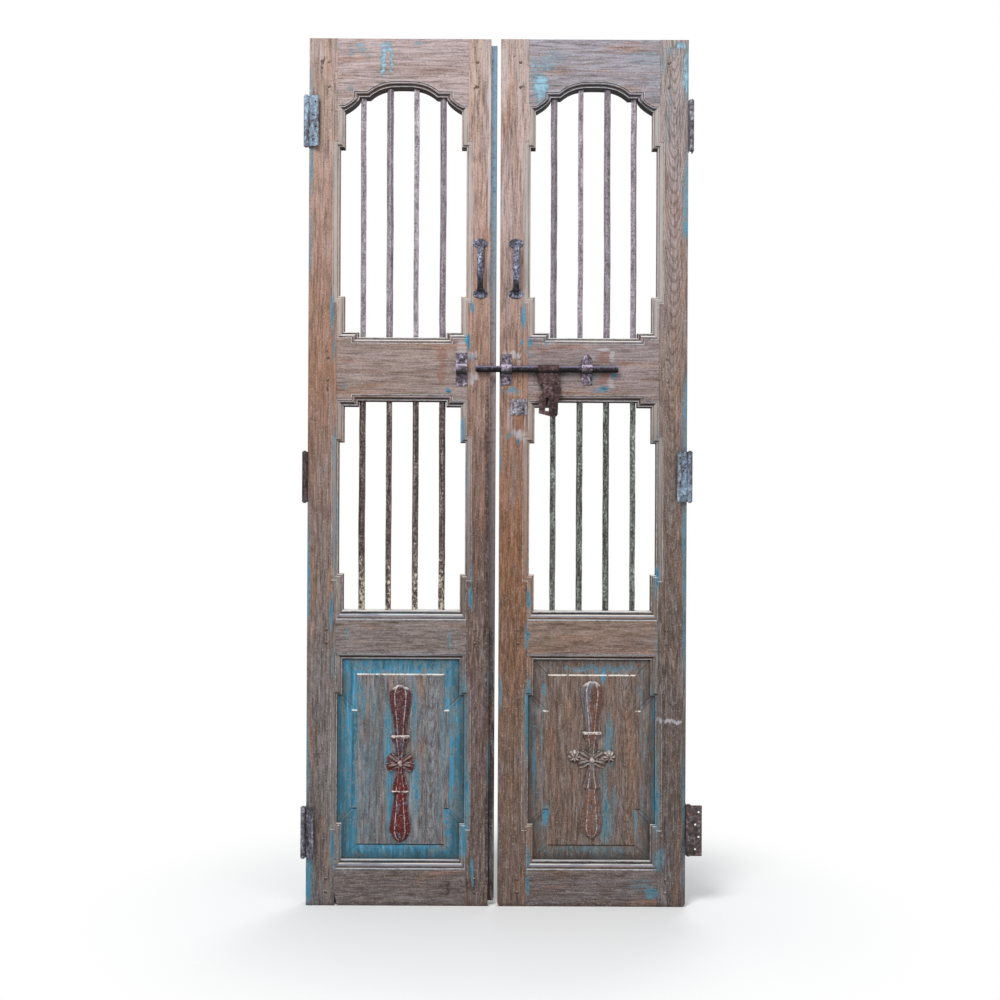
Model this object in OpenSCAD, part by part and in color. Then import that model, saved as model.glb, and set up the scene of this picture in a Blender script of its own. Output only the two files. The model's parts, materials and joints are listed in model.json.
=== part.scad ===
// Pair of panelled door leaves with barred lights. Millimetres; the front faces -Y and +Z is up.

/* [Leaf] */
// Height of each leaf
leaf_h = 2170; // [2000:5:2300]
// Width of each leaf, tongue included
leaf_w = 470; // [460:1:520]
// Thickness of stiles and rails
leaf_t = 38; // [34:1:46]
// Gap between the two leaves
leaf_gap = 9; // [8:0.5:14]
// Distance from a leaf's edge to the stile and rail joint
stile_w = 71; // [66:1:78]

/* [Rails and openings] */
// Bottom rail, from the floor to the panel opening
bottom_rail_h = 115; // [100:1:150]
// Height of the panel opening
panel_open_h = 501; // [420:1:560]
// Frieze rail, between panel and lower light
frieze_rail_h = 123; // [110:1:150]
// Height of the lower light at its sides
lower_light_h = 511; // [440:1:560]
// Lock rail, between the two lights at mid width
lock_rail_h = 160; // [145:1:190]
// Top rail at the crown of the arch
top_rail_h = 121; // [100:1:150]
// How far an ear stands in from the stile's inner edge
ear_w = 12.5; // [8:0.5:16]
// Length of an ear along its stile
ear_h = 90; // [60:1:110]
// Height of the small step at the lock rail
step_h = 13; // [6:0.5:16]
// Distance of that step from the ear
step_run = 36; // [20:0.5:42]

/* [Arch] */
// Half width of the crown curve
crown_w = 84.5; // [70:0.5:90]
// Rise of the crown curve
crown_rise = 25.5; // [15:0.5:35]
// Width of the lobe beside the crown
lobe_w = 38; // [30:0.5:40]
// Height of the lobe
lobe_h = 35; // [28:0.5:45]

/* [Moulding] */
// Width of the moulding worked around each opening
mould_w = 16; // [10:0.5:18]
// Width of that moulding along the sills of panel and lower light
sill_w = 24; // [16:0.5:30]
// Depth of that moulding
mould_d = 9; // [6:0.5:12]

/* [Panel] */
// Width of the bevel around the raised field
bevel_w = 36; // [24:1:44]
// Depth of the field's face behind the leaf's face
field_d = 3.5; // [2:0.5:6]
// Depth of the panel's margin behind the leaf's face
margin_d = 12; // [10:0.5:14]
// Thickness of the carved ornament at its proudest
carve_d = 13; // [8:0.5:16]
// Height of the carved ornament
carve_h = 394; // [300:1:400]
// How far each ornament is set below the middle of its panel: left, right
carve_drop = [16, 5]; // [0:1:20]

/* [Joinery] */
// Tenon length
tenon_l = 48; // [30:1:50]
// Tenon thickness
tenon_t = 12; // [8:0.5:14]
// Panel groove depth
groove_d = 8; // [5:0.5:8]
// Panel groove width
groove_t = 10; // [8:0.5:11]
// Peg diameter
peg_d = 8; // [6:0.5:10]
// Clearance between pieces of wood
wood_gap = 0.2; // [0.1:0.05:0.3]
// Width of the tongue on the left leaf
tongue_w = 15; // [10:0.5:18]

/* [Bars] */
// Side of a square bar
bar_w = 12.5; // [10:0.5:14]
// Distance between bars
bar_pitch = 66.8; // [60:0.2:68]
// How far a bar goes into a rail
bar_seat = 18; // [10:1:22]

/* [Hinges] */
// Hinge height
hinge_h = 126; // [100:2:150]
// Width of a hinge plate from its pin
hinge_w = 33; // [30:0.5:36]
// Plate thickness
hinge_t = 2.5; // [2:0.1:3]
// Knuckle radius
knuckle_r = 6.5; // [6:0.1:7]
// Pin radius
pin_r = 3; // [2.5:0.1:3.2]
// Radius of a plate's screw holes
hinge_hole_r = 2.5; // [2.4:0.1:3]
// Running clearance between pin and turning knuckles
pin_gap = 0.08; // [0.05:0.01:0.1]
// Room in a plate around the other plate's knuckles
knuckle_gap = 1.2; // [1.2:0.1:1.6]
// Angle to which each left plate is folded: bottom, middle, top
left_fold = [225, 0, 243]; // [0:1:243]
// Angle to which each right plate is folded: bottom, middle, top
right_fold = [90, 243, 0]; // [0:1:243]

/* [Bolt] */
// Radius of the bolt
bolt_r = 8; // [6.5:0.1:8.5]
// Length of the bolt
bolt_l = 356; // [340:1:370]
// Distance of the bolt's axis in front of the leaves
bolt_out = 12.5; // [12.5:0.1:14]
// Thickness of the bolt's straps
strap_t = 3; // [2.5:0.1:3.4]
// Running clearance around the bolt
bolt_gap = 0.4; // [0.3:0.05:0.5]
// Room around the bolt in the left leaf's staple
staple_gap = 1.6; // [1:0.1:2]

/* [Handles] */
// Height of a pull handle
handle_h = 150; // [140:1:170]
// How far a handle stands out
handle_out = 40; // [36:1:50]
// Width of a handle's grip
grip_w = 17; // [12:0.5:18]
// Thickness of a handle's grip
grip_t = 9; // [7:0.5:11]
// Height of a handle's lower end above the foot of the upper light
handle_rise = 84; // [70:1:110]

/* [Hidden] */
$fn = 48;
LEFT = -1;
RIGHT = 1;
half_w = leaf_w / 2;
joint_x = half_w - stile_w;
ear_x = joint_x - 17;
mid_x = ear_x + ear_w;
mitre = joint_x - ear_x;
step_x = ear_x - step_run;
shoulder_x = ear_x - lobe_w;
crown_spread = tan(atan(3 * crown_rise / crown_w) / 2);

panel_low = bottom_rail_h;
panel_high = panel_low + panel_open_h;
light_low = panel_high + frieze_rail_h;
light_high = light_low + lower_light_h;
arch_low = light_high + lock_rail_h + 2 * step_h;
arch_high = leaf_h - top_rail_h - crown_rise - lobe_h;
shoulder_z = arch_high + lobe_h;

// each opening: side level at the bottom, side level at the top, step at the bottom, kind of top
PANEL = [panel_low, panel_high, false, "flat"];
LIGHT = [light_low, light_high, false, "step"];
ARCH = [arch_low, arch_high, true, "arch"];
OPENINGS = [PANEL, LIGHT, ARCH];

// terraces of the moulding: width out from the opening, depth below the face
TERRACES = [[mould_w, 0.27 * mould_d], [0.66 * mould_w, 0.62 * mould_d], [0.3 * mould_w, mould_d]];

groove_y = leaf_t / 2;
tenon_y = leaf_t / 2;
// bottom and top of each tenon, rail by rail from the floor
TENONS = [
    [14, panel_low - sill_w - 5],
    [panel_high + mould_w + 5, light_low - sill_w - 5],
    [light_high + step_h + mould_w + 3, arch_low - step_h - mould_w - 3],
    [arch_high + mitre + 8, leaf_h - 22]
];

// hinge heights and pin line, measured from the leaf's centre line and face
LEFT_HINGES = [0.085 * leaf_h, 0.494 * leaf_h, 0.9035 * leaf_h];
RIGHT_HINGES = [0.0895 * leaf_h, 0.496 * leaf_h, 0.9005 * leaf_h];
pin_x = half_w + knuckle_r;
pin_y = -knuckle_r - 0.4;
segment = hinge_h / 5;
segment_gap = 0.3;

bolt_z = (light_high + arch_low) / 2;
bolt_tip = -55.5;
hasp_from = 99.5;
hasp_w = 52.8;
guide_w = 26;
guide_inner_x = leaf_gap / 2 + 4 + guide_w / 2;
guide_outer_x = 222.5;
staple_x = -leaf_gap / 2 - stile_w - 15;
lock_z = light_high;

handle_x = half_w - 40;
handle_z = arch_low + handle_rise + handle_h / 2;
lug_w = 37;
lug_h = 24;
lug_t = 2.6;
bow_half = handle_h / 2 - lug_h + 4;
bow_rise = handle_out - grip_t / 2 - lug_t / 2;
bow_r = (bow_half * bow_half + bow_rise * bow_rise) / (2 * bow_rise);
bow_angle = asin(bow_half / bow_r);
lug_z = (handle_h - lug_h) / 2;

// the whole pair is moved so that its box stands centred on the origin
leaf_x = (leaf_w + leaf_gap) / 2;
reach_left = leaf_x + pin_x + knuckle_r;
reach_right = leaf_x + pin_x + hinge_w;
shift_x = (reach_left - reach_right) / 2;
shift_y = (handle_out - leaf_t) / 2;

TEAK = "#8a6a52";
TEAK_DARK = "#6f5646";
IRON = "#4b4047";
STEEL = "#7d8f99";

module stand() translate([shift_x, shift_y, 0]) children();
module on_leaf(side) stand() translate([side * leaf_x, 0, 0]) children();
// a shape drawn in X and Z, given depth from y0 to y1
module slab(y0, y1) translate([0, y1, 0]) rotate([90, 0, 0]) linear_extrude(y1 - y0) children();
module block(low, high) translate(low) cube(high - low);
module bore_y(x, z, r, y0, y1) translate([x, y1, z]) rotate([90, 0, 0]) cylinder(r = r, h = y1 - y0);

// right half of the arch, from its foot to beside the crown, grown outwards by d
function arch_run(d) = concat(
    [for (a = [90:-15:0])
        [ear_x - (lobe_w - d) * cos(a), shoulder_z - (lobe_h - d) * sin(a)]],
    [[shoulder_x + d, shoulder_z + d]],
    [for (i = [9:-1:1])
        [(crown_w + d * crown_spread) * i / 9, shoulder_z + d + crown_rise * (1 - pow(i / 9, 3))]]);

// a flat sill grows faster than the sides, so that its moulding is wider
function sill_share(o) = o[2] ? 1 : sill_w / mould_w;
function sill(o, d) = o[0] - d * (d > 0 ? sill_share(o) : 1);

// right half of an opening's outline, from the bottom up, grown outwards by d
function half_outline(d, o) = concat(
    o[2] ? [[step_x + d, o[0] - step_h - d], [step_x + d, o[0] - d]] : [],
    [[ear_x + d, sill(o, d)], [ear_x + d, o[0] + ear_h - d],
     [mid_x + d, o[0] + ear_h - d], [mid_x + d, o[1] - ear_h + d],
     [ear_x + d, o[1] - ear_h + d], [ear_x + d, o[1] + d]],
    o[3] == "arch" ? arch_run(d) :
    o[3] == "step" ? [[step_x + d, o[1] + d], [step_x + d, o[1] + step_h + d]] : []);
function mirrored(run) = [for (i = [len(run) - 1:-1:0]) [-run[i][0], run[i][1]]];
function outline(d, o) = let (run = half_outline(d, o)) concat(run, mirrored(run));

// a solid between two outlines of equal length at two depths
module sloped(from, y0, to, y1) {
    n = len(from);
    polyhedron(
        concat([for (p = from) [p[0], y0, p[1]]], [for (p = to) [p[0], y1, p[1]]]),
        concat([[for (i = [0:n - 1]) i]], [[for (i = [0:n - 1]) 2 * n - 1 - i]],
            [for (i = [0:n - 1]) [i, i + n, (i + 1) % n + n, (i + 1) % n]]));
}

module opening_cut(o) {
    slab(-1, leaf_t + 1) polygon(outline(0, o));
    for (t = TERRACES) slab(-1, t[1]) polygon(outline(t[0], o));
}
module openings_cut() for (o = OPENINGS) opening_cut(o);

module groove_cut() block(
    [-mid_x - groove_d, groove_y - groove_t / 2, panel_low - groove_d],
    [mid_x + groove_d, groove_y + groove_t / 2, panel_high + groove_d]);

// tenon of rail i at the end on the given side; grow makes it a mortise
module tenon(i, end, grow) {
    x0 = joint_x - 1;
    x1 = joint_x + tenon_l + 4 * grow;
    block([end > 0 ? x0 : -x1, tenon_y - tenon_t / 2 - grow, TENONS[i][0] - grow],
        [end > 0 ? x1 : -x0, tenon_y + tenon_t / 2 + grow, TENONS[i][1] + grow]);
}
function peg_heights(i) = let (z = TENONS[i]) [z[0] + 0.27 * (z[1] - z[0]), z[0] + 0.73 * (z[1] - z[0])];
module pegs(end, r, y0, y1)
    for (i = [0:3], z = peg_heights(i)) bore_y(end * (joint_x + 0.45 * tenon_l), z, r, y0, y1);

// bars: side of each light, turn of each bar about its own axis
function bar_x(k) = (k - 1.5) * bar_pitch;
function bar_turn(side, upper, k) = (side * 17 + (upper ? 31 : 58) + 37 * k) % 90;
function crown_z(x) = abs(x) < crown_w
    ? shoulder_z + crown_rise * (1 - pow(abs(x) / crown_w, 3)) : shoulder_z;
module bar(side, upper, k, grow = 0) {
    x = bar_x(k);
    low = (upper ? arch_low - step_h : light_low) - bar_seat - grow;
    high = (upper ? crown_z(x) : light_high + step_h) + bar_seat + grow;
    w = bar_w + 2 * grow;
    translate([x, leaf_t / 2, low]) rotate([0, 0, bar_turn(side, upper, k)])
        translate([-w / 2, -w / 2, 0]) cube([w, w, high - low]);
}
module bars(side, upper, grow = 0) for (k = [0:3]) bar(side, upper, k, grow);

// stile outline with a mitred tab beside each opening
function stile_outline(end) = [for (p = concat(
    [[half_w, 0], [half_w, leaf_h], [joint_x, leaf_h]],
    [for (i = [2:-1:0]) let (o = OPENINGS[i]) each [
        [joint_x, o[1] + mitre], [ear_x - 3, o[1] - 3], [ear_x - 3, o[0] + 3 * sill_share(o)],
        [joint_x, sill(o, mitre)]]],
    [[joint_x, 0]])) [end * p[0], p[1]]];

module stile(end) difference() {
    slab(0, leaf_t) polygon(stile_outline(end));
    openings_cut();
    groove_cut();
    for (i = [0:3]) tenon(i, end, wood_gap);
    pegs(end, peg_d / 2 + wood_gap / 2, -1, leaf_t + 1);
}

// rail i between the opening below it and the opening above it
function rail_outline(i) = let (
    top = i == 3 ? [[joint_x, leaf_h]]
        : let (o = OPENINGS[i]) [[joint_x, sill(o, mitre)], [ear_x - 3, o[0] + 3 * sill_share(o)]],
    low = i == 0 ? [[joint_x, 0]]
        : [[ear_x - 3, OPENINGS[i - 1][1] - 3], [joint_x, OPENINGS[i - 1][1] + mitre]],
    run = concat(low, top)) concat(run, mirrored(run));

module rail(i, side) difference() {
    union() {
        difference() {
            slab(0, leaf_t) polygon(rail_outline(i));
            openings_cut();
            if (i < 2) groove_cut();
        }
        for (end = [-1, 1]) tenon(i, end, 0);
    }
    for (end = [-1, 1]) pegs(end, peg_d / 2 + wood_gap / 2, -1, leaf_t + 1);
    if (i > 0 && i < 3) bars(side, false, wood_gap / 2);
    if (i > 1) bars(side, true, wood_gap / 2);
}

// the two upright rectangles that make up the panel opening, grown outwards by d
function ear_rect(d) = rect(ear_x + d, panel_low - d, panel_high + d);
function mid_rect(d) = rect(mid_x + d, panel_low + ear_h - d, panel_high - ear_h + d);
function rect(x, z0, z1) = [[x, z0], [x, z1], [-x, z1], [-x, z0]];
module panel() {
    block([-mid_x - groove_d + 1, groove_y - groove_t / 2 + wood_gap, panel_low - groove_d + 1],
        [mid_x + groove_d - 1, groove_y + groove_t / 2 - wood_gap, panel_high + groove_d - 1]);
    slab(margin_d, groove_y) polygon(outline(-wood_gap, PANEL));
    bevel_y = 0.5 * (field_d + margin_d) - 1;
    sloped(ear_rect(-wood_gap), margin_d + 0.5, ear_rect(2 - bevel_w), bevel_y);
    sloped(mid_rect(-wood_gap), margin_d + 0.5, mid_rect(2 - bevel_w), bevel_y);
    slab(field_d, margin_d + 0.5) polygon(outline(-bevel_w, PANEL));
}

// faceted relief standing on the field: levels of height, half width and depth
module relief(levels, nose = 0.45) {
    n = len(levels);
    polyhedron(
        [for (l = levels, x = [-1, -nose, nose, 1]) [x * l[1], abs(x) < 1 ? -l[2] : 0, l[0]]],
        concat([[0, 1, 2, 3]], [[for (j = [3:-1:0]) 4 * (n - 1) + j]],
            [for (i = [0:n - 2], j = [0:3])
                [4 * i + j, 4 * i + 4 + j, 4 * i + 4 + (j + 1) % 4, 4 * i + (j + 1) % 4]]));
}
module carving(pods, drop) {
    u = carve_h / 394;
    d = carve_d;
    translate([0, field_d, (panel_low + panel_high) / 2 - 0.485 * carve_h - drop]) scale(u) {
        relief([[0, 3, 0.35 * d], [8, 15, 0.6 * d], [26, 25.5, 0.85 * d], [44, 25, 0.9 * d],
            [132, 13, 0.6 * d]]);
        relief([[129, 21.5, 0.7 * d], [138, 22.5, 0.75 * d], [178, 10, 0.55 * d]], 0.6);
        for (a = [62, -62, 112, -112]) translate([0, 0, 197]) rotate([0, a, 0])
            relief([[0, 5, 0.5 * d], [18, 9.5, 0.8 * d], [34, 11, 0.5 * d]], 0.3);
        translate([0, -0.9 * d / 2, 197]) rotate([0, 45, 0]) cube([12, 0.9 * d, 12], center = true);
        relief([[176, 9, 0.5 * d], [224, 13, 0.6 * d], [262, 22, 0.8 * d]], 0.7);
        translate([-23.5, -0.85 * d, 261]) cube([47, 0.85 * d, 7]);
        relief([[267, 17, 0.6 * d], [340, 24, 0.85 * d], [362, 28.5, 0.9 * d], [380, 21, 0.7 * d],
            [394, 3, 0.35 * d]]);
        if (pods) for (s = [-1, 1]) intersection() {
            translate([s * 43, 3, 206]) sphere(r = 18);
            block([s * 43 - 20, -20, 180], [s * 43 + 20, 0, 230]);
        }
    }
}

// hinge holes of one plate: distance from the pin, height from the hinge's middle
HINGE_HOLES = [for (k = [0:3]) [hinge_w * (k % 2 == 0 ? 0.5 : 0.75), (k - 1.5) * 0.245 * hinge_h]];

// one hinge plate with its knuckles, pin on the Z axis, plate along +Y on the -X side
module hinge_plate(odd, gap) difference() {
    union() {
        difference() {
            block([-knuckle_r, 0, -hinge_h / 2], [hinge_t - knuckle_r, hinge_w, hinge_h / 2]);
            for (i = [0:4]) if (i % 2 == (odd ? 0 : 1))
                translate([0, 0, i * segment - hinge_h / 2 - segment_gap])
                    cylinder(r = knuckle_r + knuckle_gap, h = segment + 2 * segment_gap);
            for (h = HINGE_HOLES) translate([-knuckle_r - 1, h[0], h[1]]) rotate([0, 90, 0])
                cylinder(r = hinge_hole_r, h = hinge_t + 2);
        }
        for (i = [0:4]) if (i % 2 == (odd ? 1 : 0))
            translate([0, 0, i * segment - hinge_h / 2 + (i == 0 ? 0 : segment_gap / 2)])
                cylinder(r = knuckle_r, h = segment - segment_gap / 2);
    }
    translate([0, 0, -hinge_h / 2 - 1]) cylinder(r = pin_r + gap, h = hinge_h + 2);
}
module handed(side) mirror([side < 0 ? 1 : 0, 0, 0]) children();
module at_hinge(side, z) on_leaf(side) handed(side) translate([pin_x, pin_y, z]) children();
module hinge_fixed(side, z) color(STEEL) at_hinge(side, z) hinge_plate(false, 0.03);
module hinge_free(side, z, fold) color(STEEL) at_hinge(side, z)
    rotate([0, 0, -fold]) mirror([1, 0, 0]) hinge_plate(true, pin_gap);
module hinge_pins(side, heights) color(IRON) for (z = heights) at_hinge(side, z) {
    translate([0, 0, -hinge_h / 2 - 1]) cylinder(r = pin_r, h = hinge_h + 2);
    for (e = [-1, 1]) translate([0, 0, e * (hinge_h / 2 + 1.4) - 1]) cylinder(r = pin_r + 1, h = 2);
}

// one screw standing on the plane y = 0, head towards -Y
module screw(head_r, shank_r, l, head_t = 1.3) rotate([-90, 0, 0]) {
    translate([0, 0, -head_t]) cylinder(r = head_r, h = head_t);
    translate([0, 0, -0.5]) cylinder(r = shank_r, h = l + 0.5);
}
hinge_shank = 2;
hinge_bite = 20;
iron_shank = 1.8;
iron_bite = 18;
module hinge_screws(heights) for (z = heights, h = HINGE_HOLES)
    translate([half_w + hinge_t, pin_y + h[0], z + h[1]]) rotate([0, 0, 90])
        screw(3.6, hinge_shank, hinge_bite);
module hinge_pilots(heights) for (z = heights, h = HINGE_HOLES)
    translate([half_w - hinge_bite - 1, pin_y + h[0], z + h[1]]) rotate([0, 90, 0])
        cylinder(r = hinge_shank + 0.05, h = hinge_bite + 2);
HANDLE_SCREWS = [for (e = [-1, 1], s = [-1, 1]) [s * 0.32 * lug_w, e * lug_z]];

module handle(side) color(IRON) on_leaf(side) translate([-side * handle_x, 0, handle_z]) difference() {
    union() {
        for (e = [-1, 1]) slab(-lug_t, 0) polygon(
            [for (a = [0:12:348]) [lug_w / 2 * cos(a), e * lug_z + lug_h / 2 * sin(a)]]);
        translate([0, bow_r - bow_rise - lug_t / 2, 0]) rotate([0, -90, 0])
            rotate([0, 0, -90 - bow_angle]) rotate_extrude(angle = 2 * bow_angle, $fn = 96)
                translate([bow_r, 0])
                    polygon([for (a = [0:24:336]) [grip_t / 2 * cos(a), grip_w / 2 * sin(a)]]);
    }
    for (h = HANDLE_SCREWS) bore_y(h[0], h[1], iron_shank + 0.3, -20, 1);
    block([-lug_w, 0, -handle_h], [lug_w, 20, handle_h]);
}

// strap over the bolt, drawn in depth and height, with a foot above and below
module strap(w, foot, r) translate([-w / 2, 0, 0]) rotate([90, 0, 90]) linear_extrude(w) difference() {
    union() {
        translate([-bolt_out, 0]) circle(r = r + strap_t);
        translate([-bolt_out, -r - strap_t]) square([bolt_out, 2 * (r + strap_t)]);
        translate([-strap_t, -foot]) square([strap_t, 2 * foot]);
    }
    translate([-bolt_out, 0]) circle(r = r);
    translate([-bolt_out, -r]) square([bolt_out + 1, 2 * r]);
}
strap_foot = 38;
strap_nail = 29;
// x of each strap, half height of its feet, width, room for the bolt
STAPLE = [staple_x, strap_foot + 3, 28, staple_gap];
INNER = [guide_inner_x, strap_foot, guide_w, bolt_gap];
OUTER = [guide_outer_x, strap_foot, guide_w, bolt_gap];
module at_strap(s) stand() translate([s[0], 0, bolt_z]) children();
module nailed_strap(s, pointed) color(IRON) at_strap(s) difference() {
    strap(s[2], s[1], bolt_r + s[3]);
    for (e = [-1, 1]) bore_y(0, e * strap_nail, iron_shank + 0.3, -strap_t - 1, 1);
    if (pointed) for (e = [-1, 1]) translate([e * s[2] / 2, 0, s[1]]) rotate([0, 45, 0])
        cube([14, 20, 14], center = true);
}
module strap_pilots(s) for (e = [-1, 1])
    bore_y(s[0], bolt_z + e * strap_nail, iron_shank + 0.05, -1, iron_bite + 1);

// holes for screws and nails in the wood of one leaf, in the leaf's own place
module wood_pilots(side) {
    for (h = HANDLE_SCREWS)
        bore_y(h[0] - side * handle_x, h[1] + handle_z, iron_shank + 0.05, -1, iron_bite + 1);
    translate([-side * leaf_x, 0, 0]) for (s = side < 0 ? [STAPLE] : [INNER, OUTER]) strap_pilots(s);
}

module screws(side, heights) color(IRON) {
    on_leaf(side) handed(side) hinge_screws(heights);
    on_leaf(side) for (h = HANDLE_SCREWS) translate([h[0] - side * handle_x, -lug_t, h[1] + handle_z])
        screw(3.2, iron_shank, iron_bite);
    for (s = side < 0 ? [STAPLE] : [INNER, OUTER], e = [-1, 1]) at_strap(s)
        translate([0, -strap_t, e * strap_nail]) screw(3.6, iron_shank, iron_bite);
}

module hinge_stile(side, heights) color(TEAK) on_leaf(side) difference() {
    stile(side);
    handed(side) hinge_pilots(heights);
}
module top_rail(side) color(TEAK) on_leaf(side) rail(3, side);
module lock_rail(side) color(TEAK) on_leaf(side) difference() {
    rail(2, side);
    wood_pilots(side);
}
module frieze_rail(side) color(TEAK_DARK) on_leaf(side) rail(1, side);
module bottom_rail(side) color(TEAK_DARK) on_leaf(side) rail(0, side);
module leaf_panel(side) color(TEAK_DARK) on_leaf(side) panel();
module leaf_carving(side) color("#7a3b33") on_leaf(side)
    carving(side > 0, carve_drop[side > 0 ? 1 : 0]);
module joint_pegs(side) color(TEAK_DARK) on_leaf(side)
    for (end = [-1, 1]) pegs(end, peg_d / 2, 0, leaf_t);
module one_bar(side, upper, k) color(IRON) on_leaf(side) bar(side, upper, k);

tongue_top = 11;
tongue_foot = 15;
rebate_y = leaf_t / 2;
module left_meeting_stile() color(TEAK) on_leaf(LEFT) difference() {
    stile(1);
    wood_pilots(LEFT);
    block([half_w - tongue_w, -1, -1], [half_w + 1, rebate_y, leaf_h + 1]);
    block([half_w - tongue_w, 0, leaf_h - tongue_top], [half_w + 1, leaf_t + 1, leaf_h + 1]);
    block([half_w - tongue_w, 0, -1], [half_w + 1, leaf_t + 1, tongue_foot]);
}
module left_edge_batten() color(TEAK_DARK) on_leaf(LEFT)
    block([half_w - tongue_w, rebate_y - 11, tongue_foot - 3], [half_w - 1.5, rebate_y, 0.317 * leaf_h]);

lock_w = 42;
lock_h = 38;
lock_x = -joint_x - 22.5;
lock_sink = 1.2;
module right_meeting_stile() color(TEAK) on_leaf(RIGHT) difference() {
    stile(-1);
    wood_pilots(RIGHT);
    block([-half_w - 1, leaf_t - rebate_y - 1, -1], [-half_w + tongue_w + 1, leaf_t + 1, leaf_h + 1]);
    block([lock_x - lock_w / 2 - 0.3, -1, lock_z - 79],
        [lock_x + lock_w / 2 + 0.3, lock_sink, lock_z + 19.3]);
}
// what is left of the lock plate: a torn lower edge and a rib
module lock_plate() color(IRON) on_leaf(RIGHT) translate([lock_x, 0, lock_z + 19]) {
    slab(lock_sink - 2.4, lock_sink) polygon(concat(
        [[-lock_w / 2, 0], [lock_w / 2, 0]],
        [for (i = [0:8])
            [lock_w / 2 - lock_w * i / 8, -lock_h + 5 * sin(i * 137) * sin(i * 22.5) - (i % 2) * 2]]));
    block([-1.6, lock_sink - 4, -lock_h * 0.72], [2.2, lock_sink - 1, -1]);
}

module bolt_rod() color(IRON) stand() translate([bolt_tip, -bolt_out, bolt_z]) rotate([0, 90, 0]) {
    translate([0, 0, 3]) cylinder(r = bolt_r, h = bolt_l - 5);
    cylinder(r1 = bolt_r - 2.5, r2 = bolt_r, h = 3);
    translate([0, 0, bolt_l - 2]) cylinder(r1 = bolt_r, r2 = bolt_r - 1.5, h = 2);
}

hasp_t = 2.6;
hasp_r = bolt_r + 0.08;
// outline of the hasp below its bend: half widths left and right at each height below the bolt
HASP = [[-31, -18, 22], [-42, -13, 29], [-52, -10.5, 33.5], [-61, -14, 31], [-68, -22.5, 25.5],
    [-110, -23.5, 24.5]];
module hasp() color(IRON) stand() translate([hasp_from + hasp_w / 2, -bolt_out, bolt_z]) difference() {
    union() {
        translate([-hasp_w / 2, 0, 0]) rotate([0, 90, 0]) cylinder(r = hasp_r + hasp_t, h = hasp_w);
        block([-hasp_w / 2, -hasp_t - 1.2, -36], [hasp_w / 2, -1.2, 0]);
        slab(-1.4, hasp_t - 1.4) polygon(concat(
            [for (p = HASP) [p[1], p[0]]],
            [for (a = [250:20:350]) [14.5 + 10 * cos(a), -109.5 + 10 * sin(a)]],
            [for (i = [len(HASP) - 2:-1:0]) [HASP[i][2], HASP[i][0]]]));
    }
    translate([-hasp_w, 0, 0]) rotate([0, 90, 0]) cylinder(r = hasp_r, h = 2 * hasp_w);
    block([-7, -10, -104], [1.5, 10, -70]);
}

module left_hinge_stile() hinge_stile(LEFT, LEFT_HINGES);
module left_top_rail() top_rail(LEFT);
module left_lock_rail() lock_rail(LEFT);
module left_frieze_rail() frieze_rail(LEFT);
module left_bottom_rail() bottom_rail(LEFT);
module left_panel() leaf_panel(LEFT);
module left_carving() leaf_carving(LEFT);
module left_handle() handle(LEFT);
module left_joint_pegs() joint_pegs(LEFT);
module left_staple() nailed_strap(STAPLE, false);
module left_screws() screws(LEFT, LEFT_HINGES);
module left_hinge_pins() hinge_pins(LEFT, LEFT_HINGES);
module right_hinge_stile() hinge_stile(RIGHT, RIGHT_HINGES);
module right_top_rail() top_rail(RIGHT);
module right_lock_rail() lock_rail(RIGHT);
module right_frieze_rail() frieze_rail(RIGHT);
module right_bottom_rail() bottom_rail(RIGHT);
module right_panel() leaf_panel(RIGHT);
module right_carving() leaf_carving(RIGHT);
module right_handle() handle(RIGHT);
module right_joint_pegs() joint_pegs(RIGHT);
module right_inner_guide() nailed_strap(INNER, false);
module right_outer_guide() nailed_strap(OUTER, true);
module right_screws() screws(RIGHT, RIGHT_HINGES);
module right_hinge_pins() hinge_pins(RIGHT, RIGHT_HINGES);

left_hinge_stile();
left_meeting_stile();
left_top_rail();
left_lock_rail();
left_frieze_rail();
left_bottom_rail();
left_panel();
left_carving();
left_edge_batten();
left_handle();
left_joint_pegs();
left_staple();
left_screws();
left_hinge_pins();
one_bar(LEFT, true, 0);  // left_upper_bar_1
one_bar(LEFT, true, 1);  // left_upper_bar_2
one_bar(LEFT, true, 2);  // left_upper_bar_3
one_bar(LEFT, true, 3);  // left_upper_bar_4
one_bar(LEFT, false, 0);  // left_lower_bar_1
one_bar(LEFT, false, 1);  // left_lower_bar_2
one_bar(LEFT, false, 2);  // left_lower_bar_3
one_bar(LEFT, false, 3);  // left_lower_bar_4
hinge_fixed(LEFT, LEFT_HINGES[0]);  // left_bottom_hinge_fixed
hinge_fixed(LEFT, LEFT_HINGES[1]);  // left_middle_hinge_fixed
hinge_fixed(LEFT, LEFT_HINGES[2]);  // left_top_hinge_fixed
hinge_free(LEFT, LEFT_HINGES[0], left_fold[0]);  // left_bottom_hinge_free
hinge_free(LEFT, LEFT_HINGES[1], left_fold[1]);  // left_middle_hinge_free
hinge_free(LEFT, LEFT_HINGES[2], left_fold[2]);  // left_top_hinge_free
right_hinge_stile();
right_meeting_stile();
right_top_rail();
right_lock_rail();
right_frieze_rail();
right_bottom_rail();
right_panel();
right_carving();
right_handle();
right_joint_pegs();
right_inner_guide();
right_outer_guide();
right_screws();
right_hinge_pins();
one_bar(RIGHT, true, 0);  // right_upper_bar_1
one_bar(RIGHT, true, 1);  // right_upper_bar_2
one_bar(RIGHT, true, 2);  // right_upper_bar_3
one_bar(RIGHT, true, 3);  // right_upper_bar_4
one_bar(RIGHT, false, 0);  // right_lower_bar_1
one_bar(RIGHT, false, 1);  // right_lower_bar_2
one_bar(RIGHT, false, 2);  // right_lower_bar_3
one_bar(RIGHT, false, 3);  // right_lower_bar_4
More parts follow.
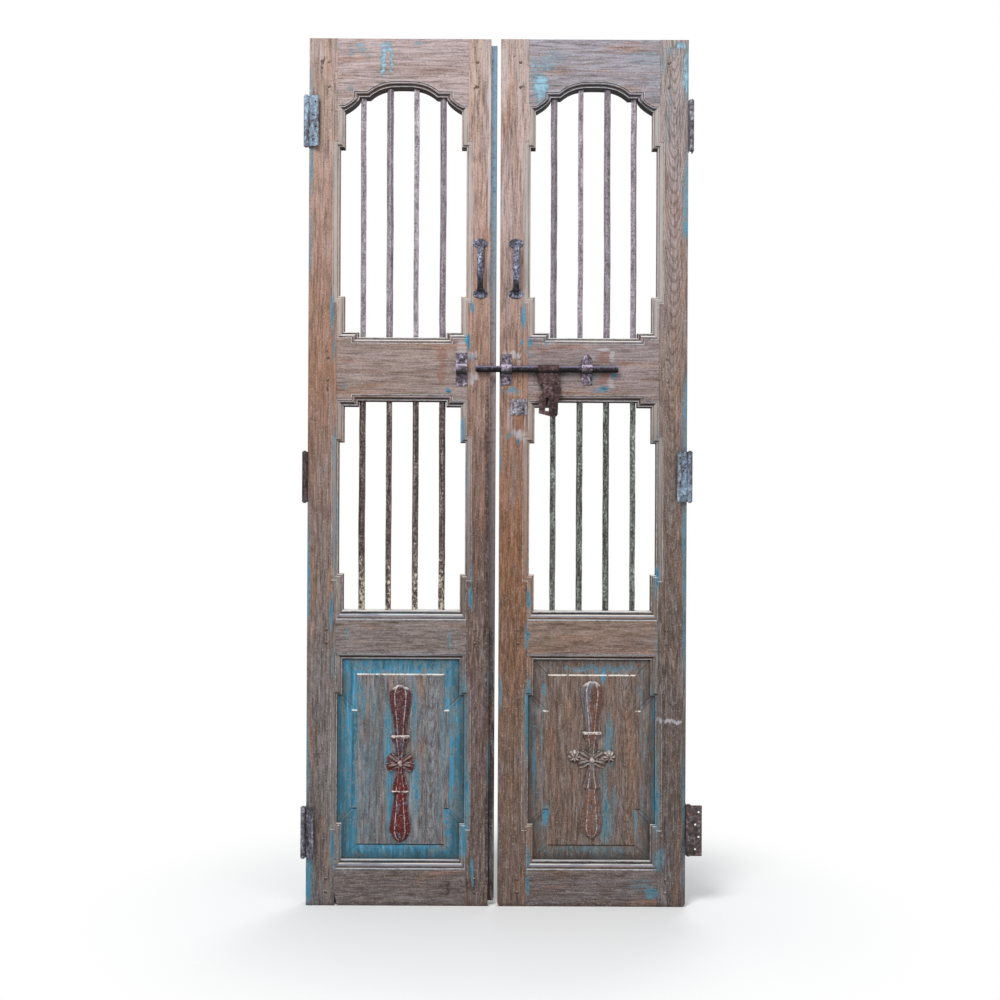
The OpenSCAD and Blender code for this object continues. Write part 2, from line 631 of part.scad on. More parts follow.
hinge_fixed(RIGHT, RIGHT_HINGES[0]);  // right_bottom_hinge_fixed
hinge_fixed(RIGHT, RIGHT_HINGES[1]);  // right_middle_hinge_fixed
hinge_fixed(RIGHT, RIGHT_HINGES[2]);  // right_top_hinge_fixed
hinge_free(RIGHT, RIGHT_HINGES[0], right_fold[0]);  // right_bottom_hinge_free
hinge_free(RIGHT, RIGHT_HINGES[1], right_fold[1]);  // right_middle_hinge_free
hinge_free(RIGHT, RIGHT_HINGES[2], right_fold[2]);  // right_top_hinge_free
lock_plate();
bolt_rod();
hasp();
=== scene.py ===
# %% [markdown]
# A pair of old teak door leaves with iron bars, dressed for the camera.
# The imported model is the fixed frame: every piece below sits where the
# frame says, in metres, and rides on one of its bodies.
# We first keep the box of the bare frame.

# %% Load the frame
import json
import math
import bmesh
import bpy
import numpy as np
from mathutils import Matrix, Vector


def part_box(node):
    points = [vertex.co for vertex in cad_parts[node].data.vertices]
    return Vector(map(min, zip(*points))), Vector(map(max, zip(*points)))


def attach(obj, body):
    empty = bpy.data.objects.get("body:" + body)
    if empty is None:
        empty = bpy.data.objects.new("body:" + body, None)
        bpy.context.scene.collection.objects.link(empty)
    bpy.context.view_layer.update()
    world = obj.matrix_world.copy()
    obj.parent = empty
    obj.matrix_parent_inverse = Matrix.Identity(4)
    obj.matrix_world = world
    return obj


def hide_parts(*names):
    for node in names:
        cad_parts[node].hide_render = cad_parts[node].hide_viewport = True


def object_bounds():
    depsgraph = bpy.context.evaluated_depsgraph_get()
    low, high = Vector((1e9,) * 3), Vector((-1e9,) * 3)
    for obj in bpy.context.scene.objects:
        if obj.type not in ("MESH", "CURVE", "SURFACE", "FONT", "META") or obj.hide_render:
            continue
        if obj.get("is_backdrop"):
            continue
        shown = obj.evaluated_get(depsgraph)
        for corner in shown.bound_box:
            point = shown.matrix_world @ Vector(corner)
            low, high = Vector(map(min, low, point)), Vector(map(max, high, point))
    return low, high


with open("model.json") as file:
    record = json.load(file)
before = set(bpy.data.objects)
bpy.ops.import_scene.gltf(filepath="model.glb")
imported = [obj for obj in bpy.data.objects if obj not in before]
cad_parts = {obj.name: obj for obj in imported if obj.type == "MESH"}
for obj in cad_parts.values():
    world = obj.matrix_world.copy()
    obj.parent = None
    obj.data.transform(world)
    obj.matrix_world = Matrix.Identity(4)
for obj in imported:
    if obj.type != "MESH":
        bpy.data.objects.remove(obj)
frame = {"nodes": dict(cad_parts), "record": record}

cad_low, cad_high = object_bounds()
nodes, bodies = frame["nodes"], frame["record"]["behaviour"]["bodies"]
body_of = {n: b for b, members in bodies.items() for n in members}
scene = bpy.context.scene
mm = 0.001
LEAVES = ("left", "right")
leaf_x = {leaf: sum(corner[0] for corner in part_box(f"{leaf}_top_rail")) / 2 for leaf in LEAVES}
face_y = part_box("left_top_rail")[0][1]
back_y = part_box("left_top_rail")[1][1]
print("frame:", len(nodes), "solids on", len(bodies), "bodies, leaf middles", leaf_x)

# %% [markdown]
# The camera stands level in front of the pair, a little above half height,
# where one would stand to photograph a door. The lens follows from the
# distance, so that 2.5 mm of the door's face make one pixel of a picture
# that is 1000 pixels wide. A quarter of a degree of roll is the photograph's.

# %% Camera
stand_off = 3.5
sensor_w = 36
face_share = 0.39965
camera_x, camera_z = -0.0062, 1.0165
roll = 0.267
camera = bpy.data.objects.new("camera", bpy.data.cameras.new("camera"))
camera.data.sensor_width = sensor_w
camera.data.lens = sensor_w * face_share * stand_off
camera.location = (camera_x, face_y - stand_off, camera_z)
camera.rotation_euler = (math.pi / 2, -math.radians(roll), 0)
scene.collection.objects.link(camera)
scene.camera = camera
print("camera lens", round(camera.data.lens, 2), "mm")

# %% [markdown]
# A material is a chain of small nodes. These helpers add one node each and
# hand back its output, so that a finish reads like a recipe further down.
# The second one, node_in, serves the Geometry Nodes near the end too.

# %% Helpers for nodes


def tone(code):
    """A colour as written on a paint card, in the linear numbers that shaders use."""
    parts = [int(code[i:i + 2], 16) / 255 for i in (1, 3, 5)]
    return tuple(c / 12.92 if c <= 0.04045 else ((c + 0.055) / 1.055) ** 2.4 for c in parts) + (1.0,)


def node_in(tree, kind, ins=None, **settings):
    """The outputs of one new node, with its inputs set or linked by number or name."""
    made = tree.nodes.new(kind)
    for key, value in settings.items():
        setattr(made, key, value)
    for key, value in (ins or {}).items():
        if isinstance(value, bpy.types.NodeSocket):
            tree.links.new(value, made.inputs[key])
        else:
            made.inputs[key].default_value = value
    return made.outputs


def put(tree, kind, ins=None, **settings):
    return node_in(tree, "ShaderNode" + kind, ins, **settings)


def calc(tree, op, a, b=0.0):
    return put(tree, "Math", {0: a, 1: b}, operation=op)[0]


def times(tree, a, b):
    return calc(tree, "MULTIPLY", a, b)


def total(tree, *values):
    out = values[0]
    for value in values[1:]:
        out = calc(tree, "ADD", out, value)
    return out


def span(tree, value, low, high, to_low=0.0, to_high=1.0):
    return put(tree, "MapRange", {0: value, 1: low, 2: high, 3: to_low, 4: to_high},
               interpolation_type="SMOOTHSTEP")[0]


def layer(tree, share, under, over):
    return put(tree, "Mix", {0: share, 6: under, 7: over}, data_type="RGBA")[2]


def stretched(tree, vector, x, y, z):
    return put(tree, "Mapping", {0: vector, 3: (x, y, z)})[0]


def grain_noise(tree, vector, scale, detail=3.0, rough=0.55, twist=0.0):
    return put(tree, "TexNoise", {"Vector": vector, "Scale": scale, "Detail": detail,
                                  "Roughness": rough, "Distortion": twist})[0]


def ramp(tree, value, stops):
    out = put(tree, "ValToRGB", {0: value})
    band = out[0].node.color_ramp
    while len(band.elements) < len(stops):
        band.elements.new(0.5)
    for element, (at, colour) in zip(band.elements, stops):
        element.position, element.color = at, tone(colour)
    return out[0]


def worn(tree, name):
    """A number that a piece's mesh carries at each point, or 0 where it carries none."""
    return put(tree, "Attribute", attribute_name=name)["Fac"]


def finish(name, build):
    """A new material whose recipe is the function build(tree, place), which returns the shader's inputs."""
    material = bpy.data.materials.new(name)
    material.use_nodes = True
    tree = material.node_tree
    tree.nodes.clear()
    place = put(tree, "TexCoord")["Object"]
    shader = put(tree, "BsdfPrincipled", build(tree, place))[0]
    put(tree, "OutputMaterial", {0: shader})
    print("finish", name, "has", len(tree.nodes), "nodes")
    return material


print("helpers ready, mid grey is", round(tone("#808080")[0], 3))

# %% [markdown]
# Light is plain and soft: a pale sky all round, one broad lamp high in front,
# a weaker one low on the other side, and a third for the back. Rays from the
# camera and rays that iron throws back see a white sky, and the far floor is
# white too. Close to the door the floor is a matt white sheet that takes the shadow.

# %% Sky, lamps and floor
scene.view_settings.view_transform = "Standard"
world = bpy.data.worlds.new("studio")
scene.world = world
world.use_nodes = True
sky = world.node_tree
sky.nodes.clear()
rays = put(sky, "LightPath")
shown = calc(sky, "MAXIMUM", rays["Is Camera Ray"], rays["Is Glossy Ray"])
shown = calc(sky, "MAXIMUM", shown, rays["Is Transmission Ray"])
glow = put(sky, "Background", {0: (0.94, 0.97, 1.0, 1), 1: 0.44})[0]
white = put(sky, "Background", {0: (1, 1, 1, 1), 1: 1.0})[0]
put(sky, "OutputWorld", {0: put(sky, "MixShader", {0: shown, 1: glow, 2: white})[0]})


def lamp(name, place, aim, size, power):
    light = bpy.data.lights.new(name, "AREA")
    light.shape, light.size, light.energy = "DISK", size, power
    obj = bpy.data.objects.new(name, light)
    obj.location = place
    obj.rotation_euler = (Vector(aim) - Vector(place)).to_track_quat("-Z", "Y").to_euler()
    scene.collection.objects.link(obj)


lamp("key_lamp", (-0.9, -2.6, 3.6), (0, 0, 1.2), 1.6, 110)
lamp("fill_lamp", (2.2, -3.0, 1.3), (0, 0, 0.9), 1.8, 26)
lamp("back_lamp", (1.0, 3.2, 2.6), (0, 0, 1.1), 2.2, 45)

floor_half = 60
floor = bpy.data.objects.new("floor", bpy.data.meshes.new("floor"))
floor.data.from_pydata([(x * floor_half, y * floor_half, 0) for x, y in ((-1, -1), (1, -1), (1, 1), (-1, 1))],
                       [], [(0, 1, 2, 3)])
scene.collection.objects.link(floor)
floor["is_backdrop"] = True
sheet = bpy.data.materials.new("floor_sheet")
sheet.use_nodes = True
paper = sheet.node_tree
paper.nodes.clear()
away = put(paper, "VectorMath", {0: put(paper, "TexCoord")["Object"]}, operation="LENGTH")["Value"]
far = times(paper, span(paper, away, 0.45, 1.1), put(paper, "LightPath")["Is Camera Ray"])
matt = put(paper, "BsdfDiffuse", {0: (0.93, 0.93, 0.93, 1)})[0]
bright = put(paper, "Emission", {0: (1, 1, 1, 1), 1: 1.0})[0]
put(paper, "OutputMaterial", {0: put(paper, "MixShader", {0: far, 1: matt, 2: bright})[0]})
floor.data.materials.append(sheet)

# %% [markdown]
# Most of the blue paint is gone. What is left sits in known places: along
# edges, beside the ears of the openings, in the quirks of the mouldings and around
# the carving. Each row is one such place as an ellipse on the leaf's face: x from the
# middle of the pair, z from the floor, half width, half height (mm) and strength.

# %% Places of old paint and marks
PAINT_LEFT_EDGES = [
    (-470, 1940, 8, 175, .6), (-475, 1665, 8, 125, .5), (-475, 800, 9, 190, .8), (-475, 365, 9, 175, .7),
    (-470, 90, 12, 110, 1), (-20, 355, 4, 100, .5), (-20, 540, 4, 75, .4), (-10, 2040, 8, 150, 1),
    (-10, 1830, 8, 150, 1), (-10, 1615, 8, 125, .8), (-10, 1440, 6, 100, .55), (-10, 1265, 6, 75, .5),
    (-15, 1015, 6, 150, .5), (-15, 765, 6, 75, .4)]
PAINT_LEFT_TOP = [
    (-290, 2115, 8, 42, .95), (-270, 2115, 5, 40, .8), (-280, 2150, 16, 15, .85), (-370, 2135, 10, 15, .55),
    (-345, 2145, 15, 15, .6), (-325, 2125, 10, 12, .5), (-310, 2155, 12, 8, .4), (-200, 2160, 15, 6, .8),
    (-370, 2045, 10, 12, .6), (-410, 2150, 12, 20, .35)]
PAINT_LEFT_EARS = [
    (-415, 1485, 6, 50, 1), (-410, 1415, 4, 45, .8), (-415, 1365, 4, 12, .6), (-65, 1500, 6, 15, .8),
    (-75, 1415, 6, 22, 1), (-125, 1290, 8, 12, .9), (-70, 1400, 6, 10, .7), (-65, 1375, 10, 10, .6),
    (-385, 1295, 8, 8, .4), (-375, 680, 4, 20, .65), (-115, 665, 5, 35, .6), (-415, 735, 6, 55, .9),
    (-410, 615, 5, 62, .45), (-410, 155, 8, 40, .85), (-405, 115, 4, 30, .5), (-60, 100, 6, 35, .9),
    (-55, 65, 5, 15, .6), (-65, 765, 6, 30, 1), (-65, 830, 5, 35, .6), (-410, 1140, 6, 75, .5),
    (-405, 965, 6, 150, .4), (-80, 1090, 6, 75, .8), (-85, 1190, 6, 40, .9), (-240, 730, 150, 4, .6)]
PAINT_LEFT_PANEL = [
    (-365, 450, 20, 150, 1), (-365, 265, 20, 150, .9), (-365, 165, 25, 55, 1), (-360, 545, 15, 35, .9),
    (-85, 465, 18, 125, .75), (-85, 265, 20, 150, .85), (-95, 155, 25, 45, 1), (-240, 135, 155, 22, .95),
    (-295, 600, 65, 15, 1), (-165, 600, 65, 12, .9), (-270, 425, 15, 100, .75), (-265, 265, 15, 112, .8),
    (-205, 465, 12, 100, .7), (-200, 290, 15, 100, .65), (-305, 415, 20, 150, .42), (-335, 515, 15, 50, .6),
    (-325, 315, 12, 125, .4), (-130, 430, 10, 100, .45), (-140, 265, 15, 75, .25), (-315, 190, 25, 30, .3)]
PAINT_RIGHT_EDGES = [
    (470, 2095, 8, 75, .8), (470, 1795, 8, 100, .9), (470, 1700, 8, 30, 1), (470, 1220, 8, 150, .6),
    (470, 870, 8, 175, .7), (470, 670, 8, 125, .7), (470, 295, 8, 150, .5), (470, 95, 8, 75, .5),
    (5, 2040, 4, 125, .55), (5, 1790, 4, 125, .4), (5, 1305, 6, 45, .8), (5, 1140, 5, 125, .5),
    (5, 865, 4, 150, .4), (0, 705, 6, 50, .7), (5, 540, 8, 60, .6), (5, 140, 5, 100, .35)]
PAINT_RIGHT_TOP = [
    (105, 2050, 20, 40, .95), (115, 2105, 30, 22, .5), (140, 2125, 35, 15, .35), (90, 2090, 12, 35, .5),
    (455, 2155, 18, 10, .9), (430, 2140, 20, 15, .4), (365, 2125, 50, 20, .3), (390, 2045, 15, 50, .25),
    (410, 2115, 15, 40, .3), (425, 1995, 12, 100, .25)]
PAINT_RIGHT_EARS = [
    (65, 1475, 6, 40, 1), (60, 1410, 6, 8, 1), (80, 1410, 5, 15, 1), (120, 1410, 4, 10, .8),
    (75, 1385, 8, 8, .6), (290, 1330, 10, 11, .85), (265, 1295, 15, 8, 1), (250, 1290, 20, 6, .7),
    (240, 1325, 8, 10, .6), (40, 1290, 20, 8, .7), (50, 1165, 5, 10, 1), (30, 1175, 10, 8, .6),
    (80, 765, 6, 25, 1), (75, 675, 5, 40, .9), (80, 50, 6, 25, 1), (80, 115, 5, 35, .6),
    (410, 115, 18, 35, .7), (390, 35, 22, 15, .8), (360, 55, 35, 22, .35), (400, 670, 5, 60, .4),
    (400, 825, 6, 30, 1), (395, 795, 5, 40, .6), (365, 870, 5, 100, .4), (395, 1095, 5, 150, .5),
    (235, 735, 125, 4, .6)]
PAINT_RIGHT_PANEL = [
    (80, 460, 6, 105, 1), (85, 540, 6, 35, .8), (95, 340, 5, 150, .7), (270, 575, 8, 20, .9),
    (285, 410, 18, 75, .55), (275, 220, 22, 75, .6), (270, 265, 12, 100, .5), (400, 255, 8, 100, .8),
    (395, 465, 8, 100, .6), (400, 345, 6, 75, .6), (260, 595, 112, 8, .75), (120, 540, 8, 20, .6),
    (355, 545, 8, 25, .5), (125, 230, 10, 35, .7), (350, 215, 10, 35, .5), (240, 140, 125, 10, .5),
    (290, 265, 15, 40, .4)]
PALE_LEFT = [
    (-90, 1395, 15, 30, .75), (-100, 1365, 8, 60, .55), (-70, 1325, 22, 20, .9), (-60, 1350, 12, 25, .6),
    (-65, 1380, 15, 12, .7), (-80, 1410, 20, 15, .5), (-370, 2090, 35, 30, .3), (-175, 2140, 100, 35, .3),
    (-455, 2140, 25, 35, .5), (-420, 2130, 8, 75, .4), (-30, 2115, 15, 100, .5), (-210, 265, 15, 62, .6),
    (-200, 200, 12, 50, .7), (-465, 590, 8, 150, .3), (-25, 2045, 6, 115, 1), (-25, 1800, 6, 140, .9),
    (-25, 1580, 6, 90, .7)]
PALE_RIGHT = [
    (35, 1380, 30, 12, .9), (50, 1365, 10, 15, .6), (230, 1365, 15, 20, .5), (265, 1395, 22, 8, .8),
    (285, 1375, 8, 20, .6), (285, 1310, 10, 12, .6), (55, 1180, 25, 20, .9), (30, 1215, 8, 45, .7),
    (75, 1215, 10, 40, .6), (40, 1285, 22, 12, .5), (440, 465, 28, 6, 1), (410, 465, 12, 8, .8),
    (415, 545, 8, 20, .6), (350, 2095, 62, 45, .3), (15, 2095, 12, 75, .5), (40, 2070, 20, 100, .3)]
BARE_LEFT = [
    (-140, 1375, 15, 22, 1), (-140, 1325, 14, 22, .9), (-135, 1350, 10, 15, .8), (-60, 1360, 10, 15, .7),
    (-330, 420, 8, 22, 1), (-395, 1385, 20, 10, .4), (-410, 1390, 25, 20, .3)]
BARE_RIGHT = [
    (265, 1375, 16, 18, 1), (265, 1325, 15, 20, 1), (55, 1215, 15, 28, .9), (25, 1375, 10, 15, .4),
    (315, 1360, 15, 10, .6)]
# Dark marks are stains and dirt, and partly painted shade.
DARK_LEFT = [
    (-25, 1090, 9, 275, .8), (-25, 665, 9, 350, .7), (-20, 215, 9, 225, .8), (-60, 190, 8, 125, .4),
    (-460, 1165, 10, 150, .35), (-410, 2040, 8, 100, .4), (-65, 55, 35, 20, .5), (-125, 45, 20, 20, .6),
    (-440, 2115, 8, 8, .9), (-445, 2100, 5, 5, .8), (-60, 2045, 5, 5, .9), (-55, 2085, 4, 4, .8),
    (-425, 1290, 4, 6, 1), (-425, 1385, 4, 4, .8), (-60, 1295, 4, 5, .8), (-435, 1910, 6, 2, .8),
    (-295, 0, 150, 10, .4), (-90, 465, 10, 150, .3), (-205, 515, 10, 150, .35), (-440, 15, 35, 15, .3)]
DARK_RIGHT = [
    (0, 1015, 5, 300, .3), (440, 2005, 4, 3, 1), (40, 2125, 4, 4, 1), (60, 2050, 4, 4, .8),
    (445, 2120, 4, 4, .6), (425, 2055, 4, 4, .7), (425, 320, 10, 200, .4), (410, 420, 8, 150, .4),
    (260, 5, 225, 10, .5), (420, 520, 8, 125, .5), (55, 1235, 22, 5, 1), (60, 690, 8, 10, .5),
    (435, 370, 20, 15, .3), (85, 5, 75, 8, .4)]
print("places of old paint:", sum(len(rows) for rows in (
    PAINT_LEFT_EDGES, PAINT_LEFT_TOP, PAINT_LEFT_EARS, PAINT_LEFT_PANEL,
    PAINT_RIGHT_EDGES, PAINT_RIGHT_TOP, PAINT_RIGHT_EARS, PAINT_RIGHT_PANEL)))

# %% [markdown]
# A finish can't read a list, so each list becomes a group of nodes that gives one
# number for a point: how deep it lies inside the nearest ellipse. The finish then tears and
# thins that number with noise. An image would be simpler, but a group stays sharp at any size.

# %% Marks as node groups
middle_x = -13.25


def marks(name, rows):
    """A node group that says how strongly a point lies inside one of the ellipses.

    Each row waits for the row before it, by a share too small to see: a shader keeps
    only a few numbers at a time, and rows that all start at once would overfill it.
    """
    tree = bpy.data.node_groups.new(name, "ShaderNodeTree")
    tree.interface.new_socket("Place", in_out="INPUT", socket_type="NodeSocketVector")
    tree.interface.new_socket("Strength", in_out="OUTPUT", socket_type="NodeSocketFloat")
    place = tree.nodes.new("NodeGroupInput").outputs[0]
    most, wait = None, (1e-9, 1e-9, 1e-9)
    for x, z, half_x, half_z, share in rows:
        if most:
            place = put(tree, "VectorMath", {0: most, 1: wait, 2: place}, operation="MULTIPLY_ADD")[0]
        size = 1 / (half_x * mm), 1 / (half_z * mm)
        shift = -(x + middle_x) * mm * size[0], -z * mm * size[1]
        local = put(tree, "Mapping", {0: place, 1: (shift[0], 0, shift[1]), 3: (size[0], 0, size[1])})[0]
        off = put(tree, "VectorMath", {0: local}, operation="LENGTH")["Value"]
        here = span(tree, off, 1.35, 0.45, 0.0, share)
        most = here if most is None else calc(tree, "MAXIMUM", most, here)
    tree.links.new(most, tree.nodes.new("NodeGroupOutput").inputs[0])
    return tree


PAINT = {"left": marks("left_paint", PAINT_LEFT_EDGES + PAINT_LEFT_TOP + PAINT_LEFT_EARS + PAINT_LEFT_PANEL),
         "right": marks("right_paint", PAINT_RIGHT_EDGES + PAINT_RIGHT_TOP + PAINT_RIGHT_EARS
                        + PAINT_RIGHT_PANEL)}
PALE = {"left": marks("left_pale", PALE_LEFT), "right": marks("right_pale", PALE_RIGHT)}
BARE = {"left": marks("left_bare", BARE_LEFT), "right": marks("right_bare", BARE_RIGHT)}
DARK = {"left": marks("left_dark", DARK_LEFT), "right": marks("right_dark", DARK_RIGHT)}


def strength(tree, group, place):
    made = tree.nodes.new("ShaderNodeGroup")
    made.node_tree = group
    tree.links.new(place, made.inputs[0])
    return made.outputs[0]


print("groups of marks:", len(PAINT) + len(PALE) + len(BARE) + len(DARK))

# %% [markdown]
# Weathered teak, first the bare wood. The fibres are noise stretched along the member,
# the figure is a slower noise cut into steps, and pores are threads of a finer one. On a flat
# sawn board the rings run to points about a line. The wood is paler and redder at the
# top, greyer near the floor, and grime lies thicker there.

# %% Wood: tones and grain
STILE_TONES = {
    "left_hinge_stile": ["#6d6868", "#706a68", "#7c6c66", "#94705d", "#a08275", "#a48f86"],
    "left_meeting_stile": ["#645450", "#655350", "#624f49", "#99796b", "#aa8c81", "#ac988e"],
    "right_meeting_stile": ["#6c5a52", "#745b4c", "#855a3d", "#97786a", "#ad958f", "#af9b95"],
    "right_hinge_stile": ["#575050", "#5e5551", "#6c5b54", "#85746d", "#9a8b8a", "#a09694"],
    "left_rails": ["#6a605e", "#797170", "#857874", "#94827d", "#9e8f88", "#a99898"],
    "right_rails": ["#686060", "#81695e", "#887468", "#8f8080", "#928a8d", "#96929b"],
    "left_panel": ["#696e73", "#747a80", "#797b80", "#767876", "#767876", "#767876"],
    "right_panel": ["#6c5d55", "#76645b", "#7a665c", "#7a665c", "#7a665c", "#7a665c"]}
HEIGHTS = [0.0, 0.2, 0.42, 0.62, 0.8, 1.0]
FIGURE_LINE = {"left_panel": -0.174, "right_panel": 0.313, "right_hinge_stile": 0.425}
FIBRES = {"z": (1, 1, 0.05), "x": (0.05, 1, 1)}
dark_fibre = {"z": 0.66, "x": 0.54}
grime_z = (1.3, 0.6)
leaf_top = cad_high[2]


def along_fibres(tree, place, along, power=1.0):
    """Coordinates stretched along the fibres; a power below 1 stretches them less."""
    return stretched(tree, place, *[s ** power for s in FIBRES[along]])


def by_height(tree, z, tones):
    return ramp(tree, calc(tree, "DIVIDE", z, leaf_top), list(zip(HEIGHTS, tones)))


def pointed(tree, rings, figure, x, z, line):
    """Rings that run to points about a line (x in metres), as on a flat sawn board."""
    aside = calc(tree, "SUBTRACT", x, line)
    bend = times(tree, times(tree, aside, aside), -150.0)
    tier = times(tree, total(tree, z, bend, times(tree, figure, 0.12)), 34.0)
    near = span(tree, calc(tree, "ABSOLUTE", aside), 0.06, 0.03)
    arches = calc(tree, "PINGPONG", tier, 0.5)
    return put(tree, "Mix", {0: near, 2: rings, 3: arches}, data_type="FLOAT")[0]


def bare_wood(tree, place, run, along, tones, cathedral):
    """The colour of clean old wood, with its fibres and rings for the bump."""
    x, _, z = put(tree, "SeparateXYZ", {0: place})[:3]
    fibre = grain_noise(tree, run, 250, 6, 0.78)
    drift = grain_noise(tree, along_fibres(tree, place, along, 0.6), 26, 4, 0.62)
    figure = grain_noise(tree, along_fibres(tree, place, along, 0.72), 15, 3, 0.5, 0.5)
    rings = calc(tree, "PINGPONG", times(tree, figure, 9), 0.5)
    ring_share = 0.3
    if cathedral is not None:
        rings = pointed(tree, rings, figure, x, z, cathedral)
        ring_share = 0.5
    pores = span(tree, grain_noise(tree, run, 520, 2, 0.5), 0.56, 0.68)
    speck = grain_noise(tree, place, 260, 3, 0.65)
    wood = by_height(tree, z, tones)
    wood = layer(tree, span(tree, drift, 0.52, 0.68, 0.0, 0.5), wood, tone("#95684c"))
    wood = layer(tree, span(tree, drift, 0.47, 0.33, 0.0, 0.4), wood, tone("#8d888b"))
    wood = layer(tree, span(tree, rings, 0.0, 0.3, ring_share, 0.0), wood, tone("#53402f"))
    wood = layer(tree, span(tree, fibre, 0.53, 0.36, 0.0, dark_fibre[along]), wood, tone("#3d2e28"))
    wood = layer(tree, span(tree, fibre, 0.54, 0.7, 0.0, 0.42), wood, tone("#b9aaa0"))
    wood = layer(tree, times(tree, pores, 0.45), wood, tone("#33281f"))
    wood = layer(tree, span(tree, speck, 0.57, 0.7, 0.0, 0.3), wood, tone("#cfc7c3"))
    wood = layer(tree, span(tree, speck, 0.44, 0.32, 0.0, 0.5), wood, tone("#2e2522"))
    grime = grain_noise(tree, along_fibres(tree, place, along, 0.6), 150, 6, 0.82)
    soot = times(tree, span(tree, grime, 0.5, 0.36), span(tree, z, *grime_z, 0.12, 0.5))
    wood = layer(tree, soot, wood, tone("#2b2322"))
    chalk = times(tree, span(tree, grime, 0.52, 0.66), span(tree, z, *grime_z, 0.1, 0.3))
    return layer(tree, chalk, wood, tone("#b2a8a4")), fibre, rings


print("tones for", len(STILE_TONES), "boards")

# %% [markdown]
# Over the bare wood lie the marks: rubs down to fresh wood, pale scuffs, and dark stains
# that are partly painted shade, each with a torn outline. Then comes the wear of the shapes.
# The mesh itself tells the finish where a crest, a quirk or an eased edge is, so that wear
# sits on real edges: crests and edges are pale, quirks are dark with dirt and painted shade,
# and mitre lines are dark.

# %% Wood: marks and wear


def ragged(tree, place, run):
    """The place, shifted a few millimetres by noise, so that marks get torn outlines."""
    shift = put(tree, "TexNoise", {"Vector": run, "Scale": 55, "Detail": 6, "Roughness": 0.7})[1]
    centred = put(tree, "VectorMath", {0: shift, 1: (0.5, 0.5, 0.5)}, operation="SUBTRACT")[0]
    return put(tree, "VectorMath", {0: centred, 1: (0.03, 0.0, 0.05), 2: place}, operation="MULTIPLY_ADD")[0]


def patchy(tree, group, spot, noise):
    """The marks of a group, eaten away by noise."""
    here = times(tree, strength(tree, group, spot), 0.9)
    return span(tree, calc(tree, "ADD", here, times(tree, noise, 0.6)), 0.55, 1.2)


def stained_and_shaded(tree, wood, leaf, spot, flake, scrap):
    """Wood with its rubs, scuffs and stains; the dark marks are partly painted shade."""
    bare = patchy(tree, BARE[leaf], spot, scrap)
    wood = layer(tree, times(tree, bare, 0.5), wood, tone("#7d4e3a"))
    pale = patchy(tree, PALE[leaf], spot, flake)
    wood = layer(tree, times(tree, pale, 0.6), wood, tone("#b9b6bc"))
    # Dark stains, partly painted shade.
    dark = patchy(tree, DARK[leaf], spot, scrap)
    return layer(tree, times(tree, dark, 0.8), wood, tone("#2f2625"))


def rubbed(tree, wood, along, z, bead, wear, flake, scrap):
    """Wood with pale crests and edges, dirt and painted shade in its quirks, and dirt in its mitres."""
    crest = times(tree, span(tree, bead, 0.3, 0.95), span(tree, scrap, 0.1, 0.7))
    wood = layer(tree, times(tree, crest, 0.8), wood, tone("#c2c4c8"))
    if along == "z":
        bleached = times(tree, span(tree, bead, 0.02, 0.14), span(tree, z, 0.65, 1.5, 0.12, 0.62))
        wood = layer(tree, bleached, wood, tone("#aaa7a3"))
    # Quirks are dark with dirt and painted shade.
    quirk = span(tree, bead, -0.2, -0.9)
    wood = layer(tree, times(tree, quirk, 0.75), wood, tone("#2c2424"))
    wood = layer(tree, span(tree, wear, -0.1, -0.9, 0.0, 0.7), wood, tone("#2a2220"))
    edge = times(tree, wear, span(tree, flake, 0.35, 0.8))
    return layer(tree, times(tree, edge, 0.6), wood, tone("#c3bfbd"))


print("marks and wear are ready")

# %% [markdown]
# Old blue paint. A thin film stains the wood round each place, and flakes of full colour
# lie on it where the marks and two noises together are strong enough, with a pale rim
# of primer. On a panel the bevels behind the field keep paint too, brightest beside the
# field with a painted highlight on the top bevel, and darkened in the depth by dirt and painted shade.

# %% Wood: old paint
BEVEL_PAINT = {"left_panel": 1.1, "right_panel": 0.45}
# Colours of dirt and painted shade in the depth of a panel's bevels.
BEVEL_DIRT_AND_SHADE = {"left": "#22363a", "right": "#2b2826"}
BLUES = [(0.32, "#2a4a55"), (0.45, "#2f667d"), (0.56, "#3a86ab"), (0.7, "#7ab6ce")]
field_y = face_y + 3.5 * mm
top_bevel_z = (0.56, 0.59)


